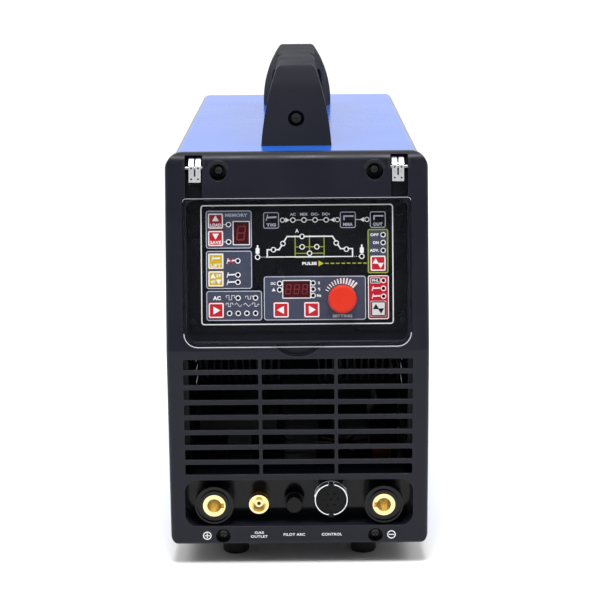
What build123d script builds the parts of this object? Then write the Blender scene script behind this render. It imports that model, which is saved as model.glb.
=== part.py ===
from build123d import *
from math import cos, sin, tan, radians
import os

# A portable TIG welding machine. +Z is up, the front faces -Y, and the origin is on the floor
# under the middle of the machine. All sizes are millimetres.

# Driving dimensions
LENGTH = 596.0              # front face to the tip of the gas inlet
FRONT_Y = -LENGTH / 2       # the lower front face; depths are measured back from it
BEZEL_WIDTH = 240.0
BEZEL_BOTTOM = 20.0
BEZEL_TOP = 383.0
BEZEL_DEPTH = 50.0
BEZEL_WALL = 2.8
BEND_Z = 207.0              # height where the front face starts to lean back
TILT = 12.24                # degrees that the control panel leans back
CASE_WIDTH = 230.0
CASE_TOP = 380.0
CASE_BOTTOM = 23.2
CASE_FRONT = 48.5           # depth of the cover's front edge, just inside the bezel's rim
CASE_BACK = 571.0           # depth of the rear panel's outer face
SHEET = 1.5                 # folded steel
CORNER = 8.0                # outer radius of the cover's folded corners
BASE_TOP = CASE_BOTTOM + 2.0
INSIDE = 112.8              # half width inside the cover, with a little room
GAP = 0.3                   # clearance between pieces that move past each other
FIT = 0.05                  # radial running clearance of a shaft

# Control panel, in the leaning face's own directions: u across, v up the slope, w outwards
FLAP_LOW, FLAP_HIGH = 3.0, 139.0
FLAP_HALF = 104.0
FLAP_THICK = 3.0
POCKET_HALF = 101.0
POCKET_LOW, POCKET_HIGH = 8.0, 137.5
POCKET_FLOOR = -18.0
PLATE_TOP = -16.0           # outer surface of the panel plate
PLATE_HALF = 100.0
PLATE_LOW, PLATE_HIGH = 17.0, 137.0
PANEL_MID = 78.5            # v at the middle of the printed frame
KEY = 14.4
KEY_RISE = 0.8
KEY_FOOT = -24.0
BOARD_TOP = -26.0
HINGE_V, HINGE_W = 167.0, -3.5
HINGE_U = 92.5              # middle of each hinge clip
CLIP_HALF = 5.4
SLOT_IN, SLOT_OUT = 85.8, 101.5
SWING = 11.6                # free radius round the hinge pin

NOTCH_LOW, NOTCH_R, NOTCH_DEPTH = 201.2, 27.3, 7.0

# Connectors
RECESS_HALF = 106.0
RECESS_LOW, RECESS_HIGH = 38.0, 83.4
RECESS_CORNER = 12.0
PLUG_Z = 58.0
BACK_WALL = 25.0            # depth of the connector plate's front
SOCKET_X = 79.0
GAS_X = -37.5
PILOT_X = -4.5
CONTROL_X = 30.0
BORE_R = 6.5

# Air slots
SLOT_TOP = 199.1
SLOT_PITCH = 14.35
SLOT_HEIGHT = 10.0
SLOT_ROWS = 8
SLOT_COLUMNS = ((-105.0, -36.3), (-33.3, 33.3), (36.3, 105.0))

# Screws of the bezel, feet, handle
LOW_SCREW = (71.0, 28.4)
HIGH_SCREW = (71.3, 366.0)
FOOT_X = 61.0
FOOT_DEPTHS = (39.5, 530.0)
HANDLE_FRONT, HANDLE_BACK = 106.0, 478.0
HANDLE_HOLE = 24.5          # height of the screw holes in the legs
HANDLE_RISE = 72.0
HANDLE_LEAN = 31.0          # how far each leg leans in over its height
GRIP_THICK = 26.0
LEG_THICK = 44.0

# Rear panel
FAN_Z = 200.0
FAN_SIZE = 120.0
FAN_BORE = 57.0
FRAME_DEPTH = 56.0          # depth of the front frame
GLAND_X, LOW_REAR_Z = -65.0, 64.0
INLET_X = 60.0
HOSE_X = 84.0               # where the gas hose runs along the right side
SWITCH_X, SWITCH_Z = 62.0, 318.0
ROCKER_REST = 8.0           # degrees that the rocker leans when it is off

PANEL = Plane(
    origin=(0, FRONT_Y, BEND_Z),
    x_dir=(1, 0, 0),
    z_dir=(0, -cos(radians(TILT)), sin(radians(TILT))),
).location


def block(x, depth, z):
    """A box between two x, two depths and two heights."""
    size = (x[1] - x[0], depth[1] - depth[0], z[1] - z[0])
    middle = ((x[0] + x[1]) / 2, FRONT_Y + (depth[0] + depth[1]) / 2, (z[0] + z[1]) / 2)
    return Pos(*middle) * Box(*size)


def rod_y(x, z, depth, radius):
    """A cylinder along the machine's length."""
    middle = Pos(x, FRONT_Y + (depth[0] + depth[1]) / 2, z)
    return middle * Rot(90, 0, 0) * Cylinder(radius, depth[1] - depth[0])


def rod_z(x, depth, z, radius):
    """An upright cylinder."""
    return Pos(x, FRONT_Y + depth, (z[0] + z[1]) / 2) * Cylinder(radius, z[1] - z[0])


def tube_y(x, z, depth, outer, inner):
    """A tube along the machine's length."""
    return rod_y(x, z, depth, outer) - rod_y(x, z, depth, inner)


def panel_block(u, v, w):
    """A box in the control panel's own directions."""
    middle = Pos((u[0] + u[1]) / 2, (v[0] + v[1]) / 2, (w[0] + w[1]) / 2)
    return PANEL * middle * Box(u[1] - u[0], v[1] - v[0], w[1] - w[0])


def panel_rod(u, v, w, radius):
    """A cylinder square to the control panel."""
    return PANEL * Pos(u, v, (w[0] + w[1]) / 2) * Cylinder(radius, w[1] - w[0])


def pin_x(v, w, u, radius):
    """A cylinder across the machine, placed by the control panel's v and w."""
    middle = PANEL * Pos((u[0] + u[1]) / 2, v, w)
    return middle * Rot(0, 90, 0) * Cylinder(radius, u[1] - u[0])


def front_prism(sketch, depth):
    """A sketch drawn in x and z, pushed between two depths."""
    plane = Plane(origin=(0, FRONT_Y + depth[1], 0), x_dir=(1, 0, 0), z_dir=(0, -1, 0))
    return extrude(plane * sketch, amount=depth[1] - depth[0])


def side_prism(sketch, x):
    """A sketch drawn in depth and z, pushed between two x."""
    plane = Plane(origin=(x[0], FRONT_Y, 0), x_dir=(0, 1, 0), z_dir=(1, 0, 0))
    return extrude(plane * sketch, amount=x[1] - x[0])


def plan_prism(sketch, z):
    """A sketch drawn in x and depth, pushed between two heights."""
    plane = Plane(origin=(0, FRONT_Y, z[0]), x_dir=(1, 0, 0), z_dir=(0, 0, 1))
    return extrude(plane * sketch, amount=z[1] - z[0])


def panel_prism(sketch, w):
    """A sketch drawn in u and v, pushed between two w."""
    plane = Plane(PANEL)
    return extrude(plane.offset(w[0]) * sketch, amount=w[1] - w[0])


def slope_depth(z):
    """Depth of the leaning face at a height."""
    return (z - BEND_Z) * tan(radians(TILT))


def polygon(*points):
    """A flat shape through the given corners."""
    return make_face(Polyline(*points, close=True))


def corner_near(sketch, points, radius):
    """The sketch with a fillet at the vertex nearest to each point."""
    picked = [min(sketch.vertices(), key=lambda v: (v.X - p[0]) ** 2 + (v.Y - p[1]) ** 2) for p in points]
    return fillet(picked, radius)


# ---------------------------------------------------------------- front bezel

def bend_plane(angle):
    """A plane through the bend line, level at 0 degrees and square to the leaning face at TILT."""
    return Plane(
        origin=(0, FRONT_Y, BEND_Z),
        x_dir=(1, 0, 0),
        z_dir=(0, sin(radians(angle)), cos(radians(angle))),
    )


def bezel_outline(inset):
    """The bezel's outer form, or its inner form when inset by the wall."""
    half = BEZEL_WIDTH / 2 - inset
    low, high = BEZEL_BOTTOM + inset, BEZEL_TOP - inset
    slant = inset / cos(radians(TILT))
    top_depth = slope_depth(high) + slant
    side = polygon(
        (inset, low),
        (inset, BEND_Z - inset * tan(radians(TILT / 2))),
        (top_depth, high),
        (BEZEL_DEPTH, high),
        (BEZEL_DEPTH, low),
    )
    side = corner_near(side, [(top_depth, high)], 11.0 - inset)
    side = corner_near(side, [(inset, low)], 4.0 - inset / 2)
    front = polygon((-half, low), (half, low), (half, high), (-half, high))
    front = corner_near(front, [(-half, low), (half, low)], 10.0 - inset)
    front = corner_near(front, [(-half, high), (half, high)], 15.0 - 1.6 * inset)
    edge = 5.0 - inset
    plan = polygon((-half, inset), (half, inset), (half, BEZEL_DEPTH + 60), (-half, BEZEL_DEPTH + 60))
    plan = corner_near(plan, [(-half, inset), (half, inset)], edge)
    # The lower and upper runs of the rounded sides meet in a mitre through the bend.
    mitre = bend_plane(TILT / 2).location
    lower = plan_prism(plan, (0, BEND_Z + 40)) & (mitre * Pos(0, 0, -250) * Box(400, 400, 500))
    upper = extrude(bend_plane(TILT).offset(-40) * plan, amount=290)
    upper = upper & (mitre * Pos(0, 0, 250) * Box(400, 400, 500))
    body = side_prism(side, (-half, half)) & front_prism(front, (0, BEZEL_DEPTH))
    return body & (lower + upper)


def flap_hinge_slots():
    """The two slots that the flap's arms swing in, with a round well behind each pin."""
    cuts = []
    for side in (-1, 1):
        u = tuple(sorted((side * SLOT_IN, side * SLOT_OUT)))
        cuts.append(panel_block(u, (FLAP_HIGH - 2, HINGE_V), (-15, 20)))
        cuts.append(panel_block(u, (HINGE_V - 1, HINGE_V + SWING), (HINGE_W, 20)))
        cuts.append(pin_x(HINGE_V, HINGE_W, u, SWING))
    return cuts


def front_bezel():
    """Moulded plastic front: a hollow shell with its pocket, bosses, slots and recess."""
    outer = bezel_outline(0)
    shell = outer - bezel_outline(BEZEL_WALL)
    room = block((-110, 110), (35, FRAME_DEPTH - 0.2), (CASE_BOTTOM + 6, CASE_TOP - 2))
    inside = outer + room

    added = [panel_block((-107, 107), (0.8, 142), (POCKET_FLOOR - 3, -1))]
    added.append(block((-24, 24), (1, 11), (SLOT_TOP + 0.7, BEND_Z + 5)))
    for side in (-1, 1):
        u = tuple(sorted((side * (SLOT_IN - 2.5), side * (SLOT_OUT + 2.5))))
        added.append(panel_block(u, (FLAP_HIGH, HINGE_V + 8), (-17.5, -1)))
        added.append(pin_x(HINGE_V, HINGE_W, u, SWING + 1.8))
        added.append(rod_y(side * HIGH_SCREW[0], HIGH_SCREW[1], (30, FRAME_DEPTH - 0.2), 10.6))
        added.append(rod_y(side * LOW_SCREW[0], LOW_SCREW[1], (1, 14), 9.6))
    collar = Pos(0, (RECESS_LOW + RECESS_HIGH) / 2) * RectangleRounded(
        2 * RECESS_HALF + 5, RECESS_HIGH - RECESS_LOW + 5, RECESS_CORNER + 2.5
    )
    added.append(front_prism(collar, (1, BACK_WALL - 0.2)))
    body = shell
    for piece in added:
        body += piece & inside
    half = CASE_WIDTH / 2 + 0.2
    body -= block((-half, half), (CASE_FRONT - 0.3, 80), (CASE_TOP - SHEET - 0.3, BEZEL_TOP - BEZEL_WALL))

    recess = Pos(0, (RECESS_LOW + RECESS_HIGH) / 2) * RectangleRounded(
        2 * RECESS_HALF, RECESS_HIGH - RECESS_LOW, RECESS_CORNER
    )
    body -= front_prism(recess, (-5, BACK_WALL + 5))

    rebate = Pos(0, (FLAP_LOW + FLAP_HIGH) / 2 + 0.15) * RectangleRounded(
        2 * FLAP_HALF + 1.2, FLAP_HIGH - FLAP_LOW + 1.5, 13.6
    )
    body -= panel_prism(rebate, (-3.5, 30))
    body -= panel_block((-FLAP_HALF - 0.6, FLAP_HALF + 0.6), (100, FLAP_HIGH + 0.9), (-3.5, 30))
    pocket = Pos(0, (POCKET_LOW + POCKET_HIGH) / 2) * RectangleRounded(
        2 * POCKET_HALF, POCKET_HIGH - POCKET_LOW, 8.0
    )
    body -= panel_prism(pocket, (POCKET_FLOOR, 0))
    body -= panel_block((-90, 90), (21, 131), (POCKET_FLOOR - 10, 0))

    crescent = rod_y(0, NOTCH_LOW + NOTCH_R, (-2, NOTCH_DEPTH), NOTCH_R)
    body -= crescent & block((-30, 30), (-2, NOTCH_DEPTH), (NOTCH_LOW - 1, BEND_Z + 5))

    for cut in flap_hinge_slots():
        body -= cut
    for column in SLOT_COLUMNS:
        for row in range(SLOT_ROWS):
            top = SLOT_TOP - row * SLOT_PITCH
            hole = Pos((column[0] + column[1]) / 2, top - SLOT_HEIGHT / 2) * RectangleRounded(
                column[1] - column[0], SLOT_HEIGHT, 1.6
            )
            body -= front_prism(hole, (-3, BEZEL_WALL + 1.5))
    for side in (-1, 1):
        body -= rod_y(side * HIGH_SCREW[0], HIGH_SCREW[1], (0, FRAME_DEPTH - 6), 7.85)
        body -= rod_y(side * HIGH_SCREW[0], HIGH_SCREW[1], (0, FRAME_DEPTH + 1), 2.7)
        body -= rod_y(side * LOW_SCREW[0], LOW_SCREW[1], (-2, 9.5), 6.9)
        body -= rod_y(side * LOW_SCREW[0], LOW_SCREW[1], (-2, 16), 2.7)
        body -= rod_z(side * FOOT_X, FOOT_DEPTHS[0], (BEZEL_BOTTOM - 2, CASE_BOTTOM + 0.5), 13.5)
    for u, v in panel_screw_places():
        body -= panel_rod(u, v, (POCKET_FLOOR - 8, POCKET_FLOOR + 1), 1.3)
    for u in (-HINGE_U, HINGE_U):
        body -= pin_x(HINGE_V, HINGE_W, (u - 12.6, u + 12.6), 1.5)
    return body


# ---------------------------------------------------------------- steel case

def top_cover():
    """One steel sheet folded over the top and down both sides, with louvres near the back."""
    half = CASE_WIDTH / 2
    outer = polygon((-half, CASE_BOTTOM), (half, CASE_BOTTOM), (half, CASE_TOP), (-half, CASE_TOP))
    outer = corner_near(outer, [(-half, CASE_TOP), (half, CASE_TOP)], CORNER)
    inner_half, inner_top = half - SHEET, CASE_TOP - SHEET
    inner = polygon((-inner_half, 0), (inner_half, 0), (inner_half, inner_top), (-inner_half, inner_top))
    inner = corner_near(inner, [(-inner_half, inner_top), (inner_half, inner_top)], CORNER - SHEET)
    body = front_prism(outer - inner, (CASE_FRONT, CASE_BACK))
    slots = []
    for bank in (330, 400, 470):
        for row in range(9):
            slots.append(Pos(bank, 90 + row * 13) * SlotOverall(50, 4.5))
    cut = side_prism(Sketch() + slots, (-half - 1, half + 1))
    body -= cut - block((-half + 10, half - 10), (0, LENGTH), (0, 400))
    for side in (-1, 1):
        for depth in cover_screw_depths():
            middle = Pos(side * (half - SHEET / 2), FRONT_Y + depth, 34)
            body -= middle * Rot(0, 90, 0) * Cylinder(2.3, 6)
    return body


def cover_screw_depths():
    """Depths of the screws along each lower edge of the cover."""
    return (90.0, 310.0, 530.0)


def cover_screws():
    """Pan-head screws that hold the cover to the base tray's flanges."""
    screws = []
    for side in (-1, 1):
        for depth in cover_screw_depths():
            place = Pos(side * CASE_WIDTH / 2, FRONT_Y + depth, 34) * Rot(0, 90 * side, 0)
            head = Pos(0, 0, 1.1) * Cylinder(4.2, 2.2)
            head = fillet(head.edges().filter_by(GeomType.CIRCLE).sort_by(Axis.Z)[-1], 1.2)
            head -= Pos(0, 0, 2.0) * Box(5.2, 1.0, 1.6)
            head -= Pos(0, 0, 2.0) * Box(1.0, 5.2, 1.6)
            shank = Pos(0, 0, -4) * Cylinder(2.0, 8)
            screws.append(place * (head + shank))
    return screws


def base_tray():
    """Steel tray: floor, side flanges and a short front flange for the bezel's lower screws."""
    body = block((-INSIDE, INSIDE), (14.5, CASE_BACK - 2), (CASE_BOTTOM, BASE_TOP))
    for side in (-1, 1):
        x = tuple(sorted((side * (INSIDE - 1.5), side * INSIDE)))
        body += block(x, (60, CASE_BACK - 2), (CASE_BOTTOM, 46))
        for depth in cover_screw_depths():
            body -= Pos(side * INSIDE, FRONT_Y + depth, 34) * Rot(0, 90, 0) * Cylinder(2.1, 8)
        body -= block(tuple(sorted((side * 104, side * 120))), (10, 60), (20, 50))
    body += block((-100, 100), (14.5, 16.5), (CASE_BOTTOM, 34.5))
    for side in (-1, 1):
        body -= rod_y(side * LOW_SCREW[0], LOW_SCREW[1], (10, 20), 2.1)
        for depth in FOOT_DEPTHS:
            body -= rod_z(side * FOOT_X, depth, (20, 30), 2.6)
    for row in range(6):
        slot = Pos(0, 190 + row * 22) * SlotOverall(90, 5)
        body -= plan_prism(slot, (20, 30))
    return body


def rear_panel():
    """Flat steel back with the fan opening and holes for the switch, gland and gas inlet."""
    outline = polygon((-INSIDE, BASE_TOP), (INSIDE, BASE_TOP), (INSIDE, 378), (-INSIDE, 378))
    outline = corner_near(outline, [(-INSIDE, 378), (INSIDE, 378)], 6.0)
    back = (CASE_BACK - 2, CASE_BACK - 0.5)
    body = front_prism(outline, back)
    body += block((-108, 108), (CASE_BACK - 16, CASE_BACK - 0.5), (BASE_TOP, BASE_TOP + SHEET))
    body -= rod_y(0, FAN_Z, (CASE_BACK - 6, CASE_BACK + 2), FAN_BORE)
    for x, z in fan_screw_places():
        body -= rod_y(x, z, (CASE_BACK - 6, CASE_BACK + 2), 2.2)
    body -= rod_y(GLAND_X, LOW_REAR_Z, (CASE_BACK - 6, CASE_BACK + 2), 10.1)
    body -= rod_y(INLET_X, LOW_REAR_Z, (CASE_BACK - 6, CASE_BACK + 2), 6.2)
    body -= block(
        (SWITCH_X - 15.2, SWITCH_X + 15.2), (CASE_BACK - 6, CASE_BACK + 2), (SWITCH_Z - 11.2, SWITCH_Z + 11.2)
    )
    for row in range(5):
        for side in (-1, 1):
            slot = Pos(side * 87, FAN_Z - 40 + row * 20) * SlotOverall(32, 5)
            body -= front_prism(slot, (CASE_BACK - 6, CASE_BACK + 2))
    return body


def front_frame():
    """Steel ring inside the case that carries the bezel's upper screws."""
    outer = polygon((-INSIDE, BASE_TOP), (INSIDE, BASE_TOP), (INSIDE, 377.8), (-INSIDE, 377.8))
    outer = corner_near(outer, [(-INSIDE, 377.8), (INSIDE, 377.8)], 6.0)
    window = polygon((-104, 34), (104, 34), (104, 340), (-104, 340))
    window = corner_near(window, [(-104, 340), (104, 340), (-104, 34), (104, 34)], 8.0)
    body = front_prism(outer - window, (FRAME_DEPTH, FRAME_DEPTH + SHEET))
    body += block((-100, 100), (FRAME_DEPTH, FRAME_DEPTH + 16), (BASE_TOP, BASE_TOP + SHEET))
    for side in (-1, 1):
        body -= rod_y(side * HIGH_SCREW[0], HIGH_SCREW[1], (50, 65), 2.1)
    return body


def connector_plate():
    """Insulating board behind the recess that carries every connector."""
    body = block((-111, 111), (BACK_WALL, BACK_WALL + 2), (BASE_TOP, 92))
    body += block((-96, 96), (BACK_WALL, BACK_WALL + 9), (BASE_TOP, BASE_TOP + 2))
    for side in (-1, 1):
        body -= rod_z(side * FOOT_X, FOOT_DEPTHS[0], (BASE_TOP - 1, BASE_TOP + 3), 6)
        body -= rod_y(side * SOCKET_X, PLUG_Z, (20, 30), 12.1)
    body -= rod_y(GAS_X, PLUG_Z, (20, 30), 6.1)
    body -= rod_y(PILOT_X, PLUG_Z - 1, (20, 30), 4.1)
    body -= rod_y(CONTROL_X, PLUG_Z + 4, (20, 30), 12.6)
    return body


def feet():
    """Four turned rubber feet, each with a recess for its screw."""
    pieces = []
    for side in (-1, 1):
        for depth in FOOT_DEPTHS:
            half_outline = polygon((4.5, 0), (11.5, 0), (12.5, 2.0), (11.2, CASE_BOTTOM), (2.3, CASE_BOTTOM),
                                   (2.3, 11), (4.5, 11))
            foot = revolve(Plane.XZ * half_outline, Axis.Z)
            pieces.append(Pos(side * FOOT_X, FRONT_Y + depth, 0) * foot)
    return pieces


def foot_screws():
    """Screws up through the feet into the tray, each with its nut."""
    pieces = []
    for side in (-1, 1):
        for depth in FOOT_DEPTHS:
            screw = rod_z(side * FOOT_X, depth, (7.8, 11), 4.2)
            screw += rod_z(side * FOOT_X, depth, (8, 31), 2.0)
            nut = Pos(side * FOOT_X, FRONT_Y + depth, BASE_TOP) * extrude(RegularPolygon(4.6, 6), 3.2)
            pieces.append(screw + nut)
    return pieces


def bezel_screws():
    """Four screws at the bottom of the bezel's counterbores."""
    pieces = []
    places = ((LOW_SCREW, 6.4, 9.5, 22.0), (HIGH_SCREW, FRAME_DEPTH - 9.4, FRAME_DEPTH - 6, FRAME_DEPTH + 8))
    for (x, z), head, seat, tip in places:
        for side in (-1, 1):
            screw = rod_y(side * x, z, (head, seat), 4.6)
            screw = fillet(screw.edges().filter_by(GeomType.CIRCLE).sort_by(Axis.Y)[0], 1.4)
            screw -= block((side * x - 3, side * x + 3), (head - 1, head + 1.6), (z - 0.6, z + 0.6))
            screw -= block((side * x - 0.6, side * x + 0.6), (head - 1, head + 1.6), (z - 3, z + 3))
            screw += rod_y(side * x, z, (seat - 0.5, tip), 2.0)
            pieces.append(screw)
    return pieces


# ---------------------------------------------------------------- handle

def handle():
    """Hollow-footed moulded carrying handle: two leaning legs and a straight grip."""
    lean = HANDLE_LEAN / HANDLE_RISE
    under = HANDLE_RISE - GRIP_THICK
    front, back, top = HANDLE_FRONT, HANDLE_BACK, CASE_TOP + HANDLE_RISE
    floor, grip = CASE_TOP, CASE_TOP + under
    reach = lean * under
    side = polygon(
        (front, floor),
        (front + HANDLE_LEAN, top),
        (back - HANDLE_LEAN, top),
        (back, floor),
        (back - LEG_THICK, floor),
        (back - LEG_THICK - reach, grip),
        (front + LEG_THICK + reach, grip),
        (front + LEG_THICK, floor),
    )
    side = corner_near(side, [(front + HANDLE_LEAN, top), (back - HANDLE_LEAN, top)], 34.0)
    side = corner_near(side, [(front + LEG_THICK + reach, grip), (back - LEG_THICK - reach, grip)], 18.0)
    plan = polygon(
        (-42, front - 1), (42, front - 1), (26, front + 62), (19, front + 108), (19, back - 108),
        (27, back - 62), (42, back + 1), (-42, back + 1), (-27, back - 62), (-19, back - 108),
        (-19, front + 108), (-26, front + 62),
    )
    ends = None
    middle = (front + back) / 2
    for foot_half, waist, depth in ((33.4, 26.6, (front - 1, middle)), (38.5, 32.0, (middle, back + 1))):
        waist_height = floor + 0.6 * HANDLE_RISE
        edges = [Line((-foot_half, floor), (foot_half, floor))]
        edges.append(ThreePointArc((foot_half, floor), (waist, waist_height), (17.5, top)))
        edges.append(Line((17.5, top), (-17.5, top)))
        edges.append(ThreePointArc((-17.5, top), (-waist, waist_height), (-foot_half, floor)))
        face = make_face(edges)
        face = corner_near(face, [(-17.5, top), (17.5, top)], 6.0)
        piece = front_prism(face, depth)
        ends = piece if ends is None else ends + piece
    body = side_prism(side, (-45, 45)) & plan_prism(plan, (floor - 1, top + 1)) & ends
    for sign, foot in ((1, front), (-1, back)):
        near = foot + sign * 23
        far = foot + sign * 35
        body -= block((-15, 15), tuple(sorted((near, far))), (floor - 1, floor + 37))
        start = tuple(sorted((foot - sign * 5, foot + sign * 19.5)))
        body -= rod_y(0, CASE_TOP + HANDLE_HOLE, start, 7.8)
        body -= rod_y(0, CASE_TOP + HANDLE_HOLE, tuple(sorted((foot, near + sign))), 2.7)
    return body


def handle_brackets():
    """Two small steel angles that stand inside the handle's feet."""
    pieces = []
    for sign, foot in ((1, HANDLE_FRONT), (-1, HANDLE_BACK)):
        near = foot + sign * 25
        upright = block((-12, 12), tuple(sorted((near, near + sign * 2))), (CASE_TOP, CASE_TOP + 35))
        upright += block((-12, 12), tuple(sorted((near, near + sign * 9))), (CASE_TOP, CASE_TOP + 2))
        upright -= rod_y(0, CASE_TOP + HANDLE_HOLE, tuple(sorted((near - 5, near + 5))), 2.1)
        pieces.append(upright)
    return pieces


def handle_screws():
    """One screw in each leg's access hole, into the bracket."""
    pieces = []
    for sign, foot in ((1, HANDLE_FRONT), (-1, HANDLE_BACK)):
        seat = foot + sign * 19.5
        screw = rod_y(0, CASE_TOP + HANDLE_HOLE, tuple(sorted((seat - sign * 3.6, seat))), 4.6)
        screw += rod_y(0, CASE_TOP + HANDLE_HOLE, tuple(sorted((seat, seat + sign * 12))), 2.0)
        slot_end = seat - sign * 3.6
        cut = tuple(sorted((slot_end - sign, slot_end + sign * 1.6)))
        screw -= block((-3, 3), cut, (CASE_TOP + HANDLE_HOLE - 0.6, CASE_TOP + HANDLE_HOLE + 0.6))
        screw -= block((-0.6, 0.6), cut, (CASE_TOP + HANDLE_HOLE - 3, CASE_TOP + HANDLE_HOLE + 3))
        pieces.append(screw)
    return pieces


# ---------------------------------------------------------------- clear flap and its hinges

def clear_flap():
    """Clear plate over the controls, with two arms that end in tenons inside the clips."""
    plate = Pos(0, (FLAP_LOW + FLAP_HIGH) / 2) * RectangleRounded(2 * FLAP_HALF, FLAP_HIGH - FLAP_LOW, 3.0)
    low = Pos(0, (FLAP_LOW + FLAP_HIGH) / 2) * RectangleRounded(2 * FLAP_HALF, FLAP_HIGH - FLAP_LOW, 13.0)
    upper = Pos(0, FLAP_HIGH - 30) * Rectangle(2 * FLAP_HALF, 60)
    plate = plate & (low + upper)
    top = -0.3
    body = panel_prism(plate, (top - FLAP_THICK, top))
    for side in (-1, 1):
        u = side * HINGE_U
        body += panel_block((u - CLIP_HALF, u + CLIP_HALF), (FLAP_HIGH - 2, 153.6), (top - FLAP_THICK, top))
        body += panel_block((u - 3.6, u + 3.6), (150, 157.4), (top - FLAP_THICK + 0.5, top - 0.5))
    lip = panel_block((-24, 24), (FLAP_LOW, FLAP_LOW + 1.2), (top, top + 0.5))
    return body + lip


def hinge_clips():
    """Bright forked clips: a solid foot that grips the arm and two tines round the pin."""
    pieces = []
    for side in (-1, 1):
        u = side * HINGE_U
        outline = polygon((153.6, -7.6), (153.6, 0.4), (168.5, 0.4), (177.2, -6.0), (174.6, -9.5), (163, -9.5))
        outline = corner_near(outline, [(168.5, 0.4)], 8.0)
        outline = corner_near(outline, [(177.2, -6.0), (174.6, -9.5)], 1.6)
        plane = Plane(PANEL * Pos(u - CLIP_HALF, 0, 0) * Plane(
            origin=(0, 0, 0), x_dir=(0, 1, 0), z_dir=(1, 0, 0)
        ).location)
        body = extrude(plane * outline, amount=2 * CLIP_HALF)
        body -= panel_block((u - 0.8, u + 0.8), (159, 180), (-12, 3))
        body -= panel_block((u - 3.6, u + 3.6), (150, 157.4), (-2.8, -0.8))
        body -= pin_x(HINGE_V, HINGE_W, (u - 8, u + 8), 1.5 + FIT)
        for offset in (-3.1, 3.1):
            body -= panel_rod(u + offset, 162.4, (-0.6, 3), 0.9)
        pieces.append(body)
    return pieces


def hinge_pins():
    """Steel pins across the slots, held in the slots' walls."""
    pieces = []
    for side in (-1, 1):
        across = tuple(sorted((side * (SLOT_IN - 2.4), side * (SLOT_OUT + 2.4))))
        pieces.append(pin_x(HINGE_V, HINGE_W, across, 1.5))
    return pieces


# ---------------------------------------------------------------- control panel

def mirror_pairs(u, v):
    """The four combinations of a left and right u with a low and high v."""
    return [(side * u, height) for side in (-1, 1) for height in v]


def panel_screw_places():
    """The panel plate's four screws."""
    return mirror_pairs(96.5, (26.5, 133.3))


def key_places():
    """Where each key sits on the panel: name to (u, v)."""
    left = -74.7
    return {
        "key_memory_up": (left, PANEL_MID + 40.5),
        "key_memory_down": (left, PANEL_MID + 24.5),
        "key_start_mode": (left, PANEL_MID + 3.6),
        "key_cycle": (left, PANEL_MID - 12.6),
        "key_waveform": (left, PANEL_MID - 41.6),
        "key_left": (-15.0, PANEL_MID - 41.6),
        "key_right": (13.1, PANEL_MID - 41.6),
        "key_pulse": (74.4, PANEL_MID + 0.6),
        "key_remote": (74.4, PANEL_MID - 41.2),
    }


def display_places():
    """The one-digit memory display and the three-digit main display: u, v, width, height."""
    return ((-51.1, PANEL_MID + 29.3, 14.2, 20.6), (-0.6, PANEL_MID - 22.7, 24.8, 15.4))


def knob_place():
    """Centre of the setting knob."""
    return (41.3, PANEL_MID - 32.0)


def panel_plate():
    """Aluminium panel plate with openings for keys, displays and the encoder's shaft."""
    sheet = Pos(0, (PLATE_LOW + PLATE_HIGH) / 2) * RectangleRounded(
        2 * PLATE_HALF, PLATE_HIGH - PLATE_LOW, 8.6
    )
    for u, v in key_places().values():
        sheet -= Pos(u, v) * RectangleRounded(KEY + 2 * GAP, KEY + 2 * GAP, 0.8)
    for u, v, width, height in display_places():
        sheet -= Pos(u, v) * Rectangle(width, height)
    u, v = knob_place()
    sheet -= Pos(u, v) * Circle(4.6)
    for u, v in panel_screw_places():
        sheet -= Pos(u, v) * Circle(1.6)
    for u, v in lamp_places():
        sheet -= Pos(u, v) * Circle(1.3)
    return panel_prism(sheet, (POCKET_FLOOR, PLATE_TOP))


def lamp_places():
    """Indicator lamps of the panel, grouped as they are printed."""
    places = [(-62.8, PANEL_MID + 37.2), (-62.8, PANEL_MID + 21.3)]
    places += [(-54.5, PANEL_MID + 3.8), (-54.5, PANEL_MID - 9.1), (-54.5, PANEL_MID - 15.8)]
    places += [(-54.5, PANEL_MID - 30.3), (-38.5, PANEL_MID - 30.3)]
    places += [(-62.5 + 8.0 * step, PANEL_MID - 44.4) for step in range(4)]
    places += [(-16.2, PANEL_MID - 17.3), (-16.2, PANEL_MID - 23.1)]
    places += [(14.5, PANEL_MID - 17.0 - 5.8 * step) for step in range(3)]
    places += [(79.2, PANEL_MID + 26.8 - 7.2 * step) for step in range(3)]
    places += [(79.2, PANEL_MID - 15.2 - 7.3 * step) for step in range(3)]
    places += [(-3.6 + 10.2 * step, PANEL_MID + 40.9) for step in range(4)]
    places += [(-21.7, PANEL_MID + 13.8), (-12.9, PANEL_MID + 19.4), (4.7, PANEL_MID + 25.8)]
    places += [(36.1, PANEL_MID + 19.6), (45.3, PANEL_MID + 13.8)]
    places += [(-36.3, PANEL_MID + 7.1), (59.5, PANEL_MID + 7.1)]
    places += [(4.7, PANEL_MID + 16.2), (18.2, PANEL_MID + 16.2), (11.5, PANEL_MID + 10.3)]
    return places


def indicator_lamps():
    """Small domed lamp rods that stand on the board and fill the holes in the plate."""
    pieces = []
    for u, v in lamp_places():
        lamp = panel_rod(u, v, (BOARD_TOP, PLATE_TOP + 0.35), 1.25)
        pieces.append(lamp)
    return pieces


def control_board():
    """Circuit board behind the panel, with key switches and a driver chip."""
    body = panel_block((-88, 88), (24, 129), (BOARD_TOP - 1.6, BOARD_TOP))
    body += panel_block((-20, 24), (90, 98), (BOARD_TOP - 4.6, BOARD_TOP - 1.6))
    body += panel_block((30, 60), (96, 116), (BOARD_TOP - 3.8, BOARD_TOP - 1.6))
    for u, v in mirror_pairs(85.6, (27.5, 124.5)):
        body += panel_rod(u, v, (BOARD_TOP, POCKET_FLOOR), 2.0)
    return body


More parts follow.
